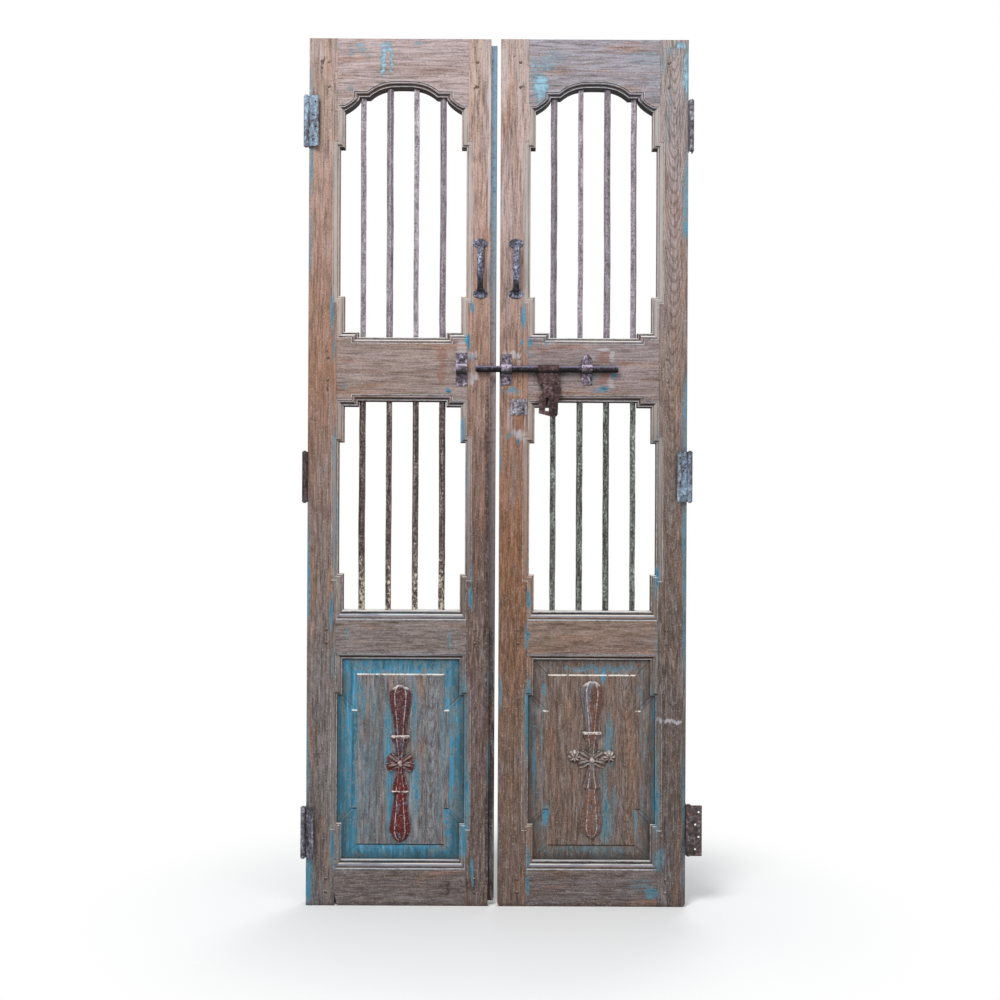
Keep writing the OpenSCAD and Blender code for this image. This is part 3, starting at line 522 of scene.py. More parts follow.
def painted(tree, wood, leaf, place, run, spot, bead, wear, flake, scrap, bevel_paint):
    """Wood under what is left of its paint."""
    _, y, z = put(tree, "SeparateXYZ", {0: place})[:3]
    mask = calc(tree, "POWER", strength(tree, PAINT[leaf], spot), 0.7)
    lump = grain_noise(tree, place, 26, 4, 0.65)
    if bevel_paint is not None:
        front = span(tree, y, face_y + 15 * mm, face_y + 13.5 * mm)
        behind = times(tree, front, span(tree, y, field_y + 0.8 * mm, field_y + 2.4 * mm))
        left_over = times(tree, span(tree, lump, 0.36, 0.6, 0.55, 1.0), bevel_paint)
        mask = calc(tree, "MAXIMUM", mask, times(tree, behind, left_over))
    film = span(tree, total(tree, mask, times(tree, flake, 0.5)), 0.4, 1.3, 0.0, 0.8)
    wood = layer(tree, film, wood, tone("#44717f"))
    sunk = times(tree, span(tree, bead, 0.2, -0.6), span(tree, lump, 0.5, 0.62, 0.0, 0.6))
    amount = total(tree, times(tree, calc(tree, "MAXIMUM", mask, sunk), 0.64),
                   times(tree, scrap, 0.3), times(tree, flake, 0.4))
    cover = span(tree, amount, 0.82, 1.06)
    primer = calc(tree, "SUBTRACT", span(tree, amount, 0.79, 0.84), span(tree, amount, 0.84, 0.9))
    wood = layer(tree, times(tree, primer, 0.25), wood, tone("#bfc6c6"))
    blue = ramp(tree, grain_noise(tree, run, 110, 6, 0.7), BLUES)
    blue = layer(tree, span(tree, lump, 0.5, 0.62, 0.0, 0.55), blue, tone("#4a6a72"))
    blue = layer(tree, span(tree, z, 1.9, 2.06, 0.0, 0.65), blue, tone("#a8c6d6"))
    if bevel_paint is not None:
        # Brighter blue paint beside the field, stronger on the top bevel as a painted highlight.
        bright_blue_and_highlight = times(tree, span(tree, y, face_y + 9 * mm, face_y + 5.5 * mm), behind)
        bright_blue_and_highlight = times(tree, bright_blue_and_highlight, span(tree, flake, 0.25, 0.8))
        bright_blue_and_highlight = times(tree, bright_blue_and_highlight, span(tree, z, *top_bevel_z, 0.6, 0.95))
        blue = layer(tree, bright_blue_and_highlight, blue, tone("#4aa6d2"))
    colour = layer(tree, times(tree, cover, 0.88), wood, blue)
    if bevel_paint is not None:
        # Dirt and painted shade in the depth of the bevels, less on the top bevel.
        deep = times(tree, span(tree, y, face_y + 7 * mm, face_y + 12.5 * mm, 0.0, 0.62),
                     span(tree, z, *top_bevel_z, 1.0, 0.55))
        colour = layer(tree, times(tree, deep, front), colour, tone(BEVEL_DIRT_AND_SHADE[leaf]))
        colour = layer(tree, span(tree, wear, -0.1, -0.9, 0.0, 0.5), colour, tone("#2a2a2c"))
    return colour


print("paint keeps to bevels on", len(BEVEL_PAINT), "panels")

# %% [markdown]
# Last comes what lies on the wood, with painted light: dried cream primer and dust on
# sills and ears that look up, which also serve as a painted highlight from above, painted
# shade on what looks down, and dirt and painted shade in corners, found by how much open air
# a point sees. The tongue in the left leaf's rebate has faded colours of its own. The bump is made
# of the same fibres, flakes and rings as the colour, so that the two agree.

# %% Wood: the whole finish
TONGUE_TONES = ["#5c5251", "#685d5c", "#807273", "#a0908f", "#829cae", "#7a9ab2"]
tongue_w = 15 * mm
tongue_y = back_y - 19 * mm
# How far the dirt and painted shade in corners reach.
dirt_and_shade_reach = 0.022


def settled_and_shaded(tree, colour, along, z, flake):
    """Primer and dust on what looks up, also a painted highlight, painted shade on what looks down, and dirt
    and painted shade in corners.
    """
    up = put(tree, "SeparateXYZ", {0: put(tree, "TexCoord")["Normal"]})[2]
    if along == "x":
        colour = layer(tree, span(tree, up, 0.1, 0.32, 0.0, 0.6), colour, tone("#8b94a6"))
    # Cream primer and dust on what looks up, also a painted highlight from above.
    cream = times(tree, span(tree, up, 0.42, 0.7), span(tree, flake, 0.02, 0.5))
    cream = times(tree, cream, span(tree, z, leaf_top - 6 * mm, leaf_top - 12 * mm))
    colour = layer(tree, times(tree, cream, 0.9), colour, tone("#e6e0d6"))
    # Painted shade on what looks down.
    colour = layer(tree, span(tree, up, -0.15, -0.6, 0.0, 0.9), colour, tone("#171211"))
    # Dirt and painted shade in corners, by how much open air a point sees.
    open_air = put(tree, "AmbientOcclusion", {"Distance": dirt_and_shade_reach}, samples=8)["AO"]
    return layer(tree, span(tree, open_air, 0.82, 0.3, 0.0, 0.8), colour, tone("#1f1918"))


def faded_tongue(tree, colour, place, scrap, tones):
    """The tongue of the left leaf, with a pale line beside the stile and a dark outer edge."""
    x, y, z = put(tree, "SeparateXYZ", {0: place})[:3]
    set_back = times(tree, span(tree, y, tongue_y - 2 * mm, tongue_y - 1 * mm),
                     span(tree, y, tongue_y + 2 * mm, tongue_y + 1 * mm))
    faded = by_height(tree, z, tones)
    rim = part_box("left_meeting_stile")[1][0]
    pale_rim = times(tree, span(tree, x, rim - tongue_w / 2, rim - tongue_w * 0.9),
                     span(tree, z, 1.1, 1.8, 0.1, 0.75))
    faded = layer(tree, pale_rim, faded, tone("#c6c6ca"))
    faded = layer(tree, span(tree, x, rim - tongue_w / 6, rim, 0.0, 0.8), faded, tone("#2a2c30"))
    chipped = span(tree, scrap, 0.0, 0.6, 0.35, 0.95)
    return layer(tree, times(tree, set_back, chipped), colour, faded)


def teak(name, leaf, along, tones, cathedral=None, bevel_paint=None, tongue=None):
    """Old teak with its fibres along z or x.

    cathedral is the line (x in metres) about which the rings of a flat sawn board run to points.
    bevel_paint is how much blue is left on the parts of a panel that lie behind its field.
    tongue is a list of colours, from the floor up, of the pale tongue in a stile's rebate.
    """
    def build(tree, place):
        run = along_fibres(tree, place, along)
        z = put(tree, "SeparateXYZ", {0: place})[2]
        wood, fibre, rings = bare_wood(tree, place, run, along, tones, cathedral)
        flake = span(tree, grain_noise(tree, run, 130, 6, 0.75), 0.32, 0.68)
        scrap = span(tree, grain_noise(tree, place, 95, 6, 0.72), 0.32, 0.68)
        spot = ragged(tree, place, run)
        bead, wear = worn(tree, "bead"), worn(tree, "edge")
        wood = stained_and_shaded(tree, wood, leaf, spot, flake, scrap)
        wood = rubbed(tree, wood, along, z, bead, wear, flake, scrap)
        colour = painted(tree, wood, leaf, place, run, spot, bead, wear, flake, scrap, bevel_paint)
        colour = settled_and_shaded(tree, colour, along, z, flake)
        if tongue:
            colour = faded_tongue(tree, colour, place, scrap, tongue)
        height = total(tree, times(tree, fibre, 0.6), times(tree, flake, 0.4), times(tree, rings, 0.25))
        bump = put(tree, "Bump", {"Strength": 0.6, "Distance": 0.0014, "Height": height})[0]
        return {"Base Color": colour, "Roughness": 0.8, "Specular IOR Level": 0.2, "Normal": bump}
    return finish(name, build)


WOOD = {}
for member, tones in STILE_TONES.items():
    side = member.split("_")[0]
    WOOD[member] = teak(f"{member}_teak", side, "x" if "rails" in member else "z", tones,
                        FIGURE_LINE.get(member), BEVEL_PAINT.get(member),
                        TONGUE_TONES if member == "left_meeting_stile" else None)


def wood_of(node):
    leaf, kind = node.split("_", 1)
    if kind.endswith("rail"):
        return WOOD[f"{leaf}_rails"]
    return WOOD.get(node) or WOOD[f"{leaf}_panel"]


# %% [markdown]
# Old iron. Bars and fittings were painted too, and what is left is a speckle of
# rust, grey metal and thin paint. One noise picks the colour, a finer one makes
# the pits. Only the colours differ from piece to piece, so one recipe serves all.

# %% Iron finishes


def iron(name, colours, grain=150, flakes=None, flake_from=0.62, metal=0.2, low_z=0.0, high_z=0.0,
         dust_and_highlight=None, gloss=0.5):
    """Pitted iron in three or four colours.

    Flakes of old paint thicken between low_z and high_z; dust that is also a painted highlight lies on what
    looks up, and painted shade on what looks down.
    """
    def build(tree, place):
        z = put(tree, "SeparateXYZ", {0: place})[2]
        mottle = grain_noise(tree, place, grain, 6, 0.74)
        streak = grain_noise(tree, stretched(tree, place, 1, 1, 0.25), grain * 0.4, 4, 0.65)
        mixed = calc(tree, "ADD", times(tree, mottle, 0.6), times(tree, streak, 0.4))
        stops = [(0.42 + 0.19 * i / (len(colours) - 1), colour) for i, colour in enumerate(colours)]
        colour = ramp(tree, mixed, stops)
        pits = span(tree, grain_noise(tree, place, grain * 3.5, 3, 0.6), 0.42, 0.3)
        colour = layer(tree, times(tree, pits, 0.6), colour, tone(colours[0]))
        edge = times(tree, worn(tree, "edge"), span(tree, mottle, 0.42, 0.6))
        colour = layer(tree, times(tree, edge, 0.5), colour, tone(colours[-1]))
        if flakes:
            scrap = grain_noise(tree, place, grain * 0.55, 6, 0.75)
            more = span(tree, z, low_z, high_z, 0.0, 0.22) if high_z != low_z else 0.0
            there = span(tree, calc(tree, "ADD", scrap, more), flake_from, flake_from + 0.06)
            colour = layer(tree, times(tree, there, 0.85), colour, tone(flakes))
        up = put(tree, "SeparateXYZ", {0: put(tree, "TexCoord")["Normal"]})[2]
        # Dust and a painted highlight on what looks up.
        if dust_and_highlight:
            lies = calc(tree, "ADD", up, times(tree, mottle, 1.2))
            colour = layer(tree, span(tree, lies, 0.85, 1.4, 0.0, 0.75), colour, tone(dust_and_highlight))
        # Painted shade on what looks down.
        colour = layer(tree, span(tree, up, -0.1, -0.6, 0.0, 0.85), colour, tone("#0b0809"))
        rough = span(tree, mottle, 0.3, 0.7, 0.75, 0.5)
        bump = put(tree, "Bump", {"Strength": 0.5, "Distance": 0.0008, "Height": mixed})[0]
        return {"Base Color": colour, "Roughness": rough, "Metallic": metal, "Normal": bump,
                "Specular IOR Level": gloss}
    return finish(name, build)


UPPER_BARS = {leaf: iron(f"{leaf}_upper_bars_iron", ["#544a50", "#7a6f77", "#8e858c", "#b0aab2"], grain=240,
                         flakes="#a5b3bd", flake_from=0.76) for leaf in LEAVES}
LOWER_BARS = {"left": iron("left_lower_bars_iron", ["#1b1416", "#40332f", "#605250", "#9a8f88"], grain=200,
                           flakes="#cfc4ae", flake_from=0.7, low_z=1.1, high_z=0.72),
              "right": iron("right_lower_bars_iron", ["#1f1d1c", "#474743", "#6b6f6a", "#a3aaa4"], grain=200,
                            flakes="#9fb3b4", flake_from=0.66)}
BLACK_IRON = iron("worn_black_iron", ["#1e1a1d", "#4b4b58", "#777b90", "#b6bcd6"], grain=190, metal=0.3)
GUIDE_IRON = iron("lilac_grey_iron", ["#1f181b", "#52464f", "#7a6d7c", "#b5abc0"], grain=150, dust_and_highlight="#c3b9cf")
LOCK_IRON = iron("bare_grey_iron", ["#241e20", "#625c66", "#8b8690", "#cbc8d2"], grain=130)
BOLT_IRON = iron("brown_black_iron", ["#0a0709", "#1b1519", "#2d262e", "#585261"], grain=170, metal=0.0,
                 dust_and_highlight="#857e96", gloss=0.15)
HASP_IRON = iron("maroon_iron", ["#1a1112", "#3a2727", "#4e3837", "#726163"], grain=140, metal=0.1,
                 gloss=0.25)
BLUE_PLATE = iron("blue_hinge_iron", ["#454048", "#6b7583", "#879cad", "#b0cad8"], grain=120,
                  flakes="#75605f", flake_from=0.63)
RUST_PLATE = iron("rusty_hinge_iron", ["#1c1516", "#3e302f", "#564a4b", "#83797f"], grain=130,
                  flakes="#8b5d48", flake_from=0.6)
GREY_PLATE = iron("grey_hinge_iron", ["#232024", "#524e56", "#767480", "#b0b2bd"], grain=130,
                  flakes="#8fb1c6", flake_from=0.62)
PLATE_FINISH = {"left_top": BLUE_PLATE, "left_middle": RUST_PLATE, "left_bottom": GREY_PLATE,
                "right_top": GREY_PLATE, "right_middle": BLUE_PLATE, "right_bottom": RUST_PLATE}

# %% [markdown]
# A solid from the frame comes as loose triangles. To work it like a real piece we
# copy it, merge its points, dissolve its flat faces and take the sharpness off the
# chosen edges with a bevel. The faces of the bevel get an "edge" number, so that the
# finish can show them worn. The copy then stands for the frame's solid.

# %% Worked copies


def new_shell():
    """An empty mesh whose faces and points can carry numbers for wear and moulding."""
    bm = bmesh.new()
    bm.faces.layers.float.new("edge")
    bm.verts.layers.float.new("bead")
    return bm


def copy_of(node):
    """The node's mesh as one clean shell, with empty numbers for wear and moulding."""
    bm = bmesh.new()
    bm.from_mesh(nodes[node].data)
    bmesh.ops.remove_doubles(bm, verts=bm.verts, dist=1e-6)
    bmesh.ops.dissolve_limit(bm, angle_limit=0.005, verts=bm.verts, edges=bm.edges)
    bm.faces.layers.float.new("edge")
    bm.verts.layers.float.new("bead")
    return bm


def add_loft(bm, rings):
    """A closed skin over rings of points, with a cap at each end."""
    faces = [bm.faces.new((a[i], a[(i + 1) % len(a)], b[(i + 1) % len(a)], b[i]))
             for a, b in zip(rings, rings[1:]) for i in range(len(a))]
    faces += [bm.faces.new(rings[0]), bm.faces.new(rings[-1])]
    bmesh.ops.recalc_face_normals(bm, faces=faces)


def cut_through(bm, point, normal, **choices):
    """Cut the whole mesh along a plane."""
    return bmesh.ops.bisect_plane(bm, geom=bm.verts[:] + bm.edges[:] + bm.faces[:], dist=1e-6,
                                  plane_co=point, plane_no=normal, **choices)


def soften(bm, chosen, width, steps=2, wear=1.0, bend=0.4):
    """Bevel the edges for which chosen(edge) is true and note the wear on them."""
    picked = [e for e in bm.edges
              if len(e.link_faces) == 2 and e.calc_face_angle(0) > bend and chosen(e)]
    made = bmesh.ops.bevel(bm, geom=picked, offset=width, segments=steps, profile=0.6,
                           affect="EDGES", clamp_overlap=True)
    edge = bm.faces.layers.float["edge"]
    for face in made["faces"]:
        face[edge] = wear


def fasten(obj, body, slot_name, *stands_for):
    """Let an object ride on a body and stand for the named solids; slot_name is not used."""
    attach(obj, body)
    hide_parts(*stands_for)


def new_piece(name, bm, body, slot_name, material, *stands_for, sharp=40):
    """Make the mesh an object that rides on a body and stands for the named solids.

    Shading runs smoothly over edges flatter than the sharp angle, but a bevel
    never bends the shading of the flat face beside it.
    """
    worn_face = bm.faces.layers.float["edge"]
    for face in bm.faces:
        face.smooth = True
    for edge in bm.edges:
        pair = edge.link_faces
        edge.smooth = (len(pair) == 2 and edge.calc_face_angle(0) < math.radians(sharp)
                       and (pair[0][worn_face] > 0) == (pair[1][worn_face] > 0))
    mesh = bpy.data.meshes.new(name)
    bm.to_mesh(mesh)
    bm.free()
    mesh.materials.append(material)
    obj = bpy.data.objects.new(name, mesh)
    scene.collection.objects.link(obj)
    fasten(obj, body, slot_name, *stands_for)
    return obj


print("ready to work", len(nodes), "solids")

# %% [markdown]
# The openings of a leaf are framed by a run moulding: a thin fillet, a quirk, an
# ovolo and a bead at the edge. The frame has it as three plain terraces. Here the same
# outline, grown outwards step by step, carries the rounded profile, as a moulding plane
# would cut it. The outline has an ear in each corner, a step or a cusped arch.

# %% Outline of the openings
ear_x, mid_x, step_x, shoulder_x = 147, 159.5, 111, 109
ear_h, step_h = 90, 13
lobe_w, lobe_h, shoulder_z = 38, 35, 2023.5
crown_w, crown_rise = 84.5, 25.5
lobe_steps, crown_steps, lobe_flat = 6, 9, 0.55
wide_sill = 1.5
OPENINGS = {"panel": (115, 616, False, "plain"), "light": (739, 1250, False, "step"),
            "arch": (1436, 1988.5, True, "arch")}


def lobe_drop(angle):
    """How far a lobe hangs below its shoulder: a quarter round, planed flatter."""
    return (1 - lobe_flat) * math.sin(angle) + lobe_flat * (1 - math.cos(angle))


def half_outline(d, opening):
    """Right half of an opening from the bottom up, grown outwards by d (mm)."""
    low, high, stepped_foot, head = OPENINGS[opening]
    run = [(step_x + d, low - step_h - d), (step_x + d, low - d)] if stepped_foot else []
    drop = d * wide_sill if d > 0 and not stepped_foot else d
    run += [(ear_x + d, low - drop), (ear_x + d, low + ear_h - d), (mid_x + d, low + ear_h - d),
            (mid_x + d, high - ear_h + d), (ear_x + d, high - ear_h + d), (ear_x + d, high + d)]
    if head == "step":
        run += [(step_x + d, high + d), (step_x + d, high + step_h + d)]
    if head == "arch":
        quarter = [math.pi / 2 * (1 - i / lobe_steps) for i in range(lobe_steps + 1)]
        run += [(ear_x - (lobe_w - d) * math.cos(a), shoulder_z - (lobe_h - d) * lobe_drop(a))
                for a in quarter]
        run += [(shoulder_x + d, shoulder_z + d)]
        reach = crown_w + d * math.tan(math.atan(3 * crown_rise / crown_w) / 2)
        run += [(reach * i / crown_steps, shoulder_z + d + crown_rise * (1 - (i / crown_steps) ** 3))
                for i in range(crown_steps, -1, -1)]
    return run


def mirrored(run):
    return [(-x, z) for x, z in reversed(run) if x > 1e-6]


def member_run(d, opening, part):
    """The stretch of the outline that belongs to a stile (part 1 or -1), the sill or the head."""
    run = half_outline(d, opening)
    foot = 2 if OPENINGS[opening][2] else 0
    if part == "sill":
        return run[:foot + 1][::-1] + [(-x, z) for x, z in run[:foot + 1]]
    if part == "head":
        return run[foot + 5:] + mirrored(run[foot + 5:])
    return [(part * x, z) for x, z in run[foot:foot + 6]]


print("arch outline has", 2 * len(half_outline(0, "arch")) - 1, "points")

# %% [markdown]
# The profile is a list of points: d is the distance from the opening, depth is how far the
# point lies behind the leaf's face, and the third number is 1 on a crest and -1 in a
# quirk. Half-round beads are arcs. The stiles' run is worn flatter than that of sills and
# heads, so it has a profile of its own. The last points run through the wood, so that
# each strip is a closed stick. Strips meet in mitres, like the real ones.

# %% Moulding strips
moulding_d = 16


def bead_arc(outer, inner, foot, crest, steps=6):
    """Points of a half-round bead between two distances, with a number that is highest on its crest."""
    rise = [math.sin(math.pi * i / steps) for i in range(steps + 1)]
    return [(outer + (inner - outer) * i / steps, foot - (foot - crest) * r, 2 * r - 1)
            for i, r in enumerate(rise)]


FRONT_PROFILE = ([(moulding_d, 0.02, 0.2), (15.7, 0.12, 1), (14.7, 0.2, 1), (14.2, 0.9, 0.2), (14.0, 2.2, -1),
                  (13.3, 2.35, -1), (12.8, 1.7, -0.2), (11.6, 1.35, 0.2), (10.2, 1.6, 0.25), (8.8, 2.4, 0.2),
                  (7.6, 3.5, 0.1), (6.7, 4.7, -0.3), (6.2, 5.4, -1), (5.0, 5.45, -1), (4.75, 7.6, -1)]
                 + [(d, depth, 0.2 + 0.5 * crest) for d, depth, crest in bead_arc(4.7, 0.3, 7.5, 5.6)])
STILE_PROFILE = [(moulding_d, 0.02, 0.2), (15.6, 0.3, 0.9), (14.9, 0.35, 0.9), (14.3, 1.1, -0.5),
                 (12.5, 1.3, 0.2), (10.5, 2.1, 0.25), (7.5, 3.6, 0.25), (4.8, 5.3, 0.2), (4.4, 5.9, -0.6),
                 (2.4, 6.6, 0.3), (1.0, 7.4, 0.8), (0.3, 8.6, 0.6)]
LINING_PROFILE = [(-0.35, 9.5, 0), (-0.35, 37.5, 0), (0.3, 37.95, 0), (3, 37.5, 0), (3, 15, 0), (16.4, 6, 0)]
# The -1 at the step onto the panel darkens that quirk with dirt and painted shade under the moulding.
PANEL_PROFILE = [(0.15, 9.3, -0.2), (0.15, 11.9, -1), (3, 11.5, -1), (16.4, 6, 0)]


def add_strip(bm, leaf, opening, part):
    """Loft the profile along one member's stretch of an outline, closed and with end caps."""
    front = FRONT_PROFILE if part in ("sill", "head") else STILE_PROFILE
    profile = front + (PANEL_PROFILE if opening == "panel" else LINING_PROFILE)
    bead = bm.verts.layers.float["bead"]
    rings = []
    for d, depth, crest in profile:
        ring = []
        for x, z in member_run(d, opening, part):
            vert = bm.verts.new((leaf_x[leaf] + x * mm, face_y + depth * mm, z * mm))
            vert[bead] = crest
            ring.append(vert)
        rings.append(ring)
    faces = [bm.faces.new(quad) for a, b in zip(rings, rings[1:] + rings[:1])
             for quad in zip(a, a[1:], b[1:], b)]
    faces += [bm.faces.new([ring[end] for ring in rings]) for end in (0, -1)]
    bmesh.ops.recalc_face_normals(bm, faces=faces)


print("moulding profiles of", len(FRONT_PROFILE), "and", len(STILE_PROFILE), "points")

# %% [markdown]
# Not every edge of a board is eased alike. The long outer arrises are rubbed soft by hands
# and sleeves, and the shoulders of the joints only a little. So we choose edges by where
# they lie: on two outer planes of the solid's box, or on the joint line of the leaf.

# %% Chosen edges
joint_x = 164


def on_box(node):
    """A test for edges that lie on two outer faces of a solid's box, which are its arrises."""
    low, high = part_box(node)

    def chosen(edge):
        planes = 0
        for axis in range(3):
            for limit in (low[axis], high[axis]):
                planes += all(abs(v.co[axis] - limit) < 2e-5 for v in edge.verts)
        return planes >= 2
    return chosen


def on_shoulder(leaf):
    """A test for the long joint lines on the front and the back of a leaf."""
    def chosen(edge):
        a, b = (v.co for v in edge.verts)
        flat = abs(a.y - b.y) < 1e-5 and min(abs(a.y - face_y), abs(a.y - back_y)) < 1e-5
        at = all(abs(abs(p.x - leaf_x[leaf]) - joint_x * mm) < 3e-4 for p in (a, b))
        return flat and at and abs(a.z - b.z) > 0.02
    return chosen


print("arrises and shoulders can be chosen")

# %% [markdown]
# Wear that changes the shape. The lower corners of the right leaf are worn
# round by years of scraping over the sill, so they are planed off stroke by stroke. A
# joint at the foot of the left leaf has opened, and the lobes beside the arch's crown
# are flatter than the quarter rounds of the frame.

# %% Worn shapes
corner_wear = {"left": 2.5 * mm, "right": 11 * mm}
open_joint = (7.5 * mm, 32 * mm)
TERRACE_RUNS = [0, 4.8, 10.56, 16]


def round_corner(bm, x, side, radius, cuts=5):
    """Plane off the lower corner at x, stroke by stroke; side is where the outside lies."""
    centre = Vector((x - side * radius, 0, radius))
    worn_face = bm.faces.layers.float["edge"]
    for i in range(cuts):
        angle = math.pi / 2 * (i + 0.5) / cuts
        out = Vector((side * math.cos(angle), 0, -math.sin(angle)))
        cut = cut_through(bm, centre + out * radius, out, clear_outer=True)
        rim = [e for e in cut["geom_cut"] if isinstance(e, bmesh.types.BMEdge)]
        for face in bmesh.ops.edgeloop_fill(bm, edges=rim)["faces"]:
            face[worn_face] = 0.3
    bmesh.ops.recalc_face_normals(bm, faces=bm.faces)


def open_shoulder(bm, x):
    """Draw the foot of a shoulder at x back from the stile, so that light shows through the joint."""
    wide, tall = open_joint
    cut_through(bm, (0, 0, tall), (0, 0, 1))
    for vert in bm.verts:
        if vert.co.z < 1e-5 and abs(vert.co.x - x) < 1e-5:
            vert.co.x += wide


def flatten_lobes(bm, leaf):
    """Plane the two quarter rounds beside the crown flatter, as on the real arch."""
    for vert in bm.verts:
        x = ear_x - abs(vert.co.x - leaf_x[leaf]) / mm
        z = shoulder_z - vert.co.z / mm
        for d in TERRACE_RUNS:
            across, hang = x / (lobe_w - d), z / (lobe_h - d)
            if abs(math.hypot(across, hang) - 1) < 1e-3 and across > 0.02 and hang > 0.02:
                vert.co.z = (shoulder_z - (lobe_h - d) * lobe_drop(math.acos(min(1, across)))) * mm
                break


print("corners worn by", {leaf: round(r / mm, 1) for leaf, r in corner_wear.items()}, "mm")

# %% [markdown]
# Stiles and rails. Each is a copy of its solid with the outer arrises and the joint
# shoulders eased, plus the moulding strips that belong to it. The corners are worn
# before the arrises are eased, because a bevel can't follow a cut that comes later.

# %% Stiles and rails
arris, shoulder_ease = 1.4 * mm, 0.5 * mm
MEMBERS = {"hinge_stile": "upper_wood", "meeting_stile": "upper_wood", "top_rail": "upper_wood",
           "lock_rail": "upper_wood", "frieze_rail": "lower_wood", "bottom_rail": "lower_wood"}
RAIL_STRIPS = {"top_rail": [("arch", "head")], "lock_rail": [("arch", "sill"), ("light", "head")],
               "frieze_rail": [("light", "sill"), ("panel", "head")], "bottom_rail": [("panel", "sill")]}


def make_member(leaf, kind):
    node = f"{leaf}_{kind}"
    bm = copy_of(node)
    side = -1 if (leaf == "left") == (kind == "hinge_stile") else 1
    low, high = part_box(node)
    if kind.endswith("stile"):
        round_corner(bm, low[0] if side < 0 else high[0], side, corner_wear[leaf])
    if kind == "top_rail":
        flatten_lobes(bm, leaf)
    if node == "left_bottom_rail":
        open_shoulder(bm, leaf_x[leaf] - joint_x * mm)
    soften(bm, on_box(node), arris, 2)
    soften(bm, on_shoulder(leaf), shoulder_ease, 1, 0.05)
    runs = RAIL_STRIPS.get(kind) or [(opening, side) for opening in OPENINGS]
    for opening, part in runs:
        add_strip(bm, leaf, opening, part)
    return new_piece(f"worked_{node}", bm, body_of[node], MEMBERS[kind], wood_of(node), node)


for leaf in LEAVES:
    for kind in MEMBERS:
        piece = make_member(leaf, kind)
        print(piece.name, len(piece.data.polygons), "faces")

# %% [markdown]
# A panel is one wide board with its edges bevelled thin to sit in the grooves. The arris
# of its raised field is soft, and dirt marks the mitres where two bevels meet. The batten
# nailed along the left leaf's edge is a plain dark strip.

# %% Panels and batten
field_arris, mitre_line, batten_arris = 3.6 * mm, 0.8 * mm, 1.2 * mm


def on_mitre(edge):
    """A test for the slanting lines where two bevels of a panel meet."""
    a, b = (v.co for v in edge.verts)
    return min(abs(a.x - b.x), abs(a.z - b.z)) > 8 * mm and max(a.y, b.y) < face_y + 13 * mm


def make_panel(leaf):
    node = f"{leaf}_panel"
    bm = copy_of(node)
    soften(bm, lambda e: all(abs(v.co.y - field_y) < 1e-5 for v in e.verts), field_arris, 1, 0.5)
    soften(bm, on_mitre, mitre_line, 1, -1.0, 0.1)
    return new_piece(f"worked_{node}", bm, body_of[node], "lower_wood", wood_of(node), node)


for leaf in LEAVES:
    print(make_panel(leaf).name)

batten = copy_of("left_edge_batten")
soften(batten, on_box("left_edge_batten"), batten_arris, 2)
BATTEN_TONES = ["#2e2a2d", "#343033"] + ["#383436"] * 4
BATTEN_TEAK = teak("left_batten_teak", "left", "z", BATTEN_TONES)
new_piece("worked_left_edge_batten", batten, body_of["left_edge_batten"], "dark_wood", BATTEN_TEAK,
          "left_edge_batten")
print("batten done")

# %% [markdown]
# The carving on each panel: two clubs, foot to foot, with a vase, a bow and
# a bell between them. A carver cuts each as long flat facets that meet in narrow
# ridges. So each lobe is a loft: a section with its ridges, drawn along stations of
# height, half width and depth, on a smooth curve. "bead" is 1 on a ridge, -1 in a hollow.

# %% Carved lobes
CLUB = [(-1, 0, 0), (-1, .34, .6), (-.93, .42, 0), (-.58, .84, 0), (-.5, .96, 1), (-.41, .95, 0), (0, 1, 0)]
BELL = [(-1, 0, 0), (-1, .4, .8), (-.92, .48, 0), (-.53, .82, 0), (-.45, .94, 1), (-.36, .92, 0), (0, 1, 0)]
PETAL = [(-1, 0, 0), (-1, .6, 1), (-.84, .6, .1), (-.5, .42, -.5), (-.12, .7, 0), (0, .76, 0)]


def whole(section):
    """A section mirrored at its middle."""
    return section + [(-u, share, groove) for u, share, groove in reversed(section[:-1])]


def flowing(stations, count):
    """Evenly spaced points on a smooth curve through the stations."""
    s = np.array(stations, float)
    s = np.vstack([2 * s[0] - s[1], s, 2 * s[-1] - s[-2]])
    points = []
    for t in np.linspace(0, len(s) - 3, count):
        i = min(int(t), len(s) - 4)
        f = t - i
        a, b, c, d = s[i:i + 4]
        points.append(0.5 * (2 * b + (c - a) * f + (2 * a - 5 * b + 4 * c - d) * f ** 2
                             + (3 * b - a - 3 * c + d) * f ** 3))
    return points


def add_lobe(bm, place, stations, section, count=22, turn=0.0):
    """Loft a section along stations (height, half width, depth in mm), turned about the place.

    The foot of the section lies a millimetre deep in the field.
    """
    bead = bm.verts.layers.float["bead"]
    spin = Matrix.Rotation(turn, 3, "Y")
    rings = []
    for z, half, depth in flowing(stations, count):
        ring = []
        for u, share, groove in whole(section):
            out = -share * depth if share > 0 else 1.0
            vert = bm.verts.new(Vector(place) + spin @ Vector((u * half, out, z)) * mm)
            vert[bead] = groove
            ring.append(vert)
        rings.append(ring)
    add_loft(bm, rings)


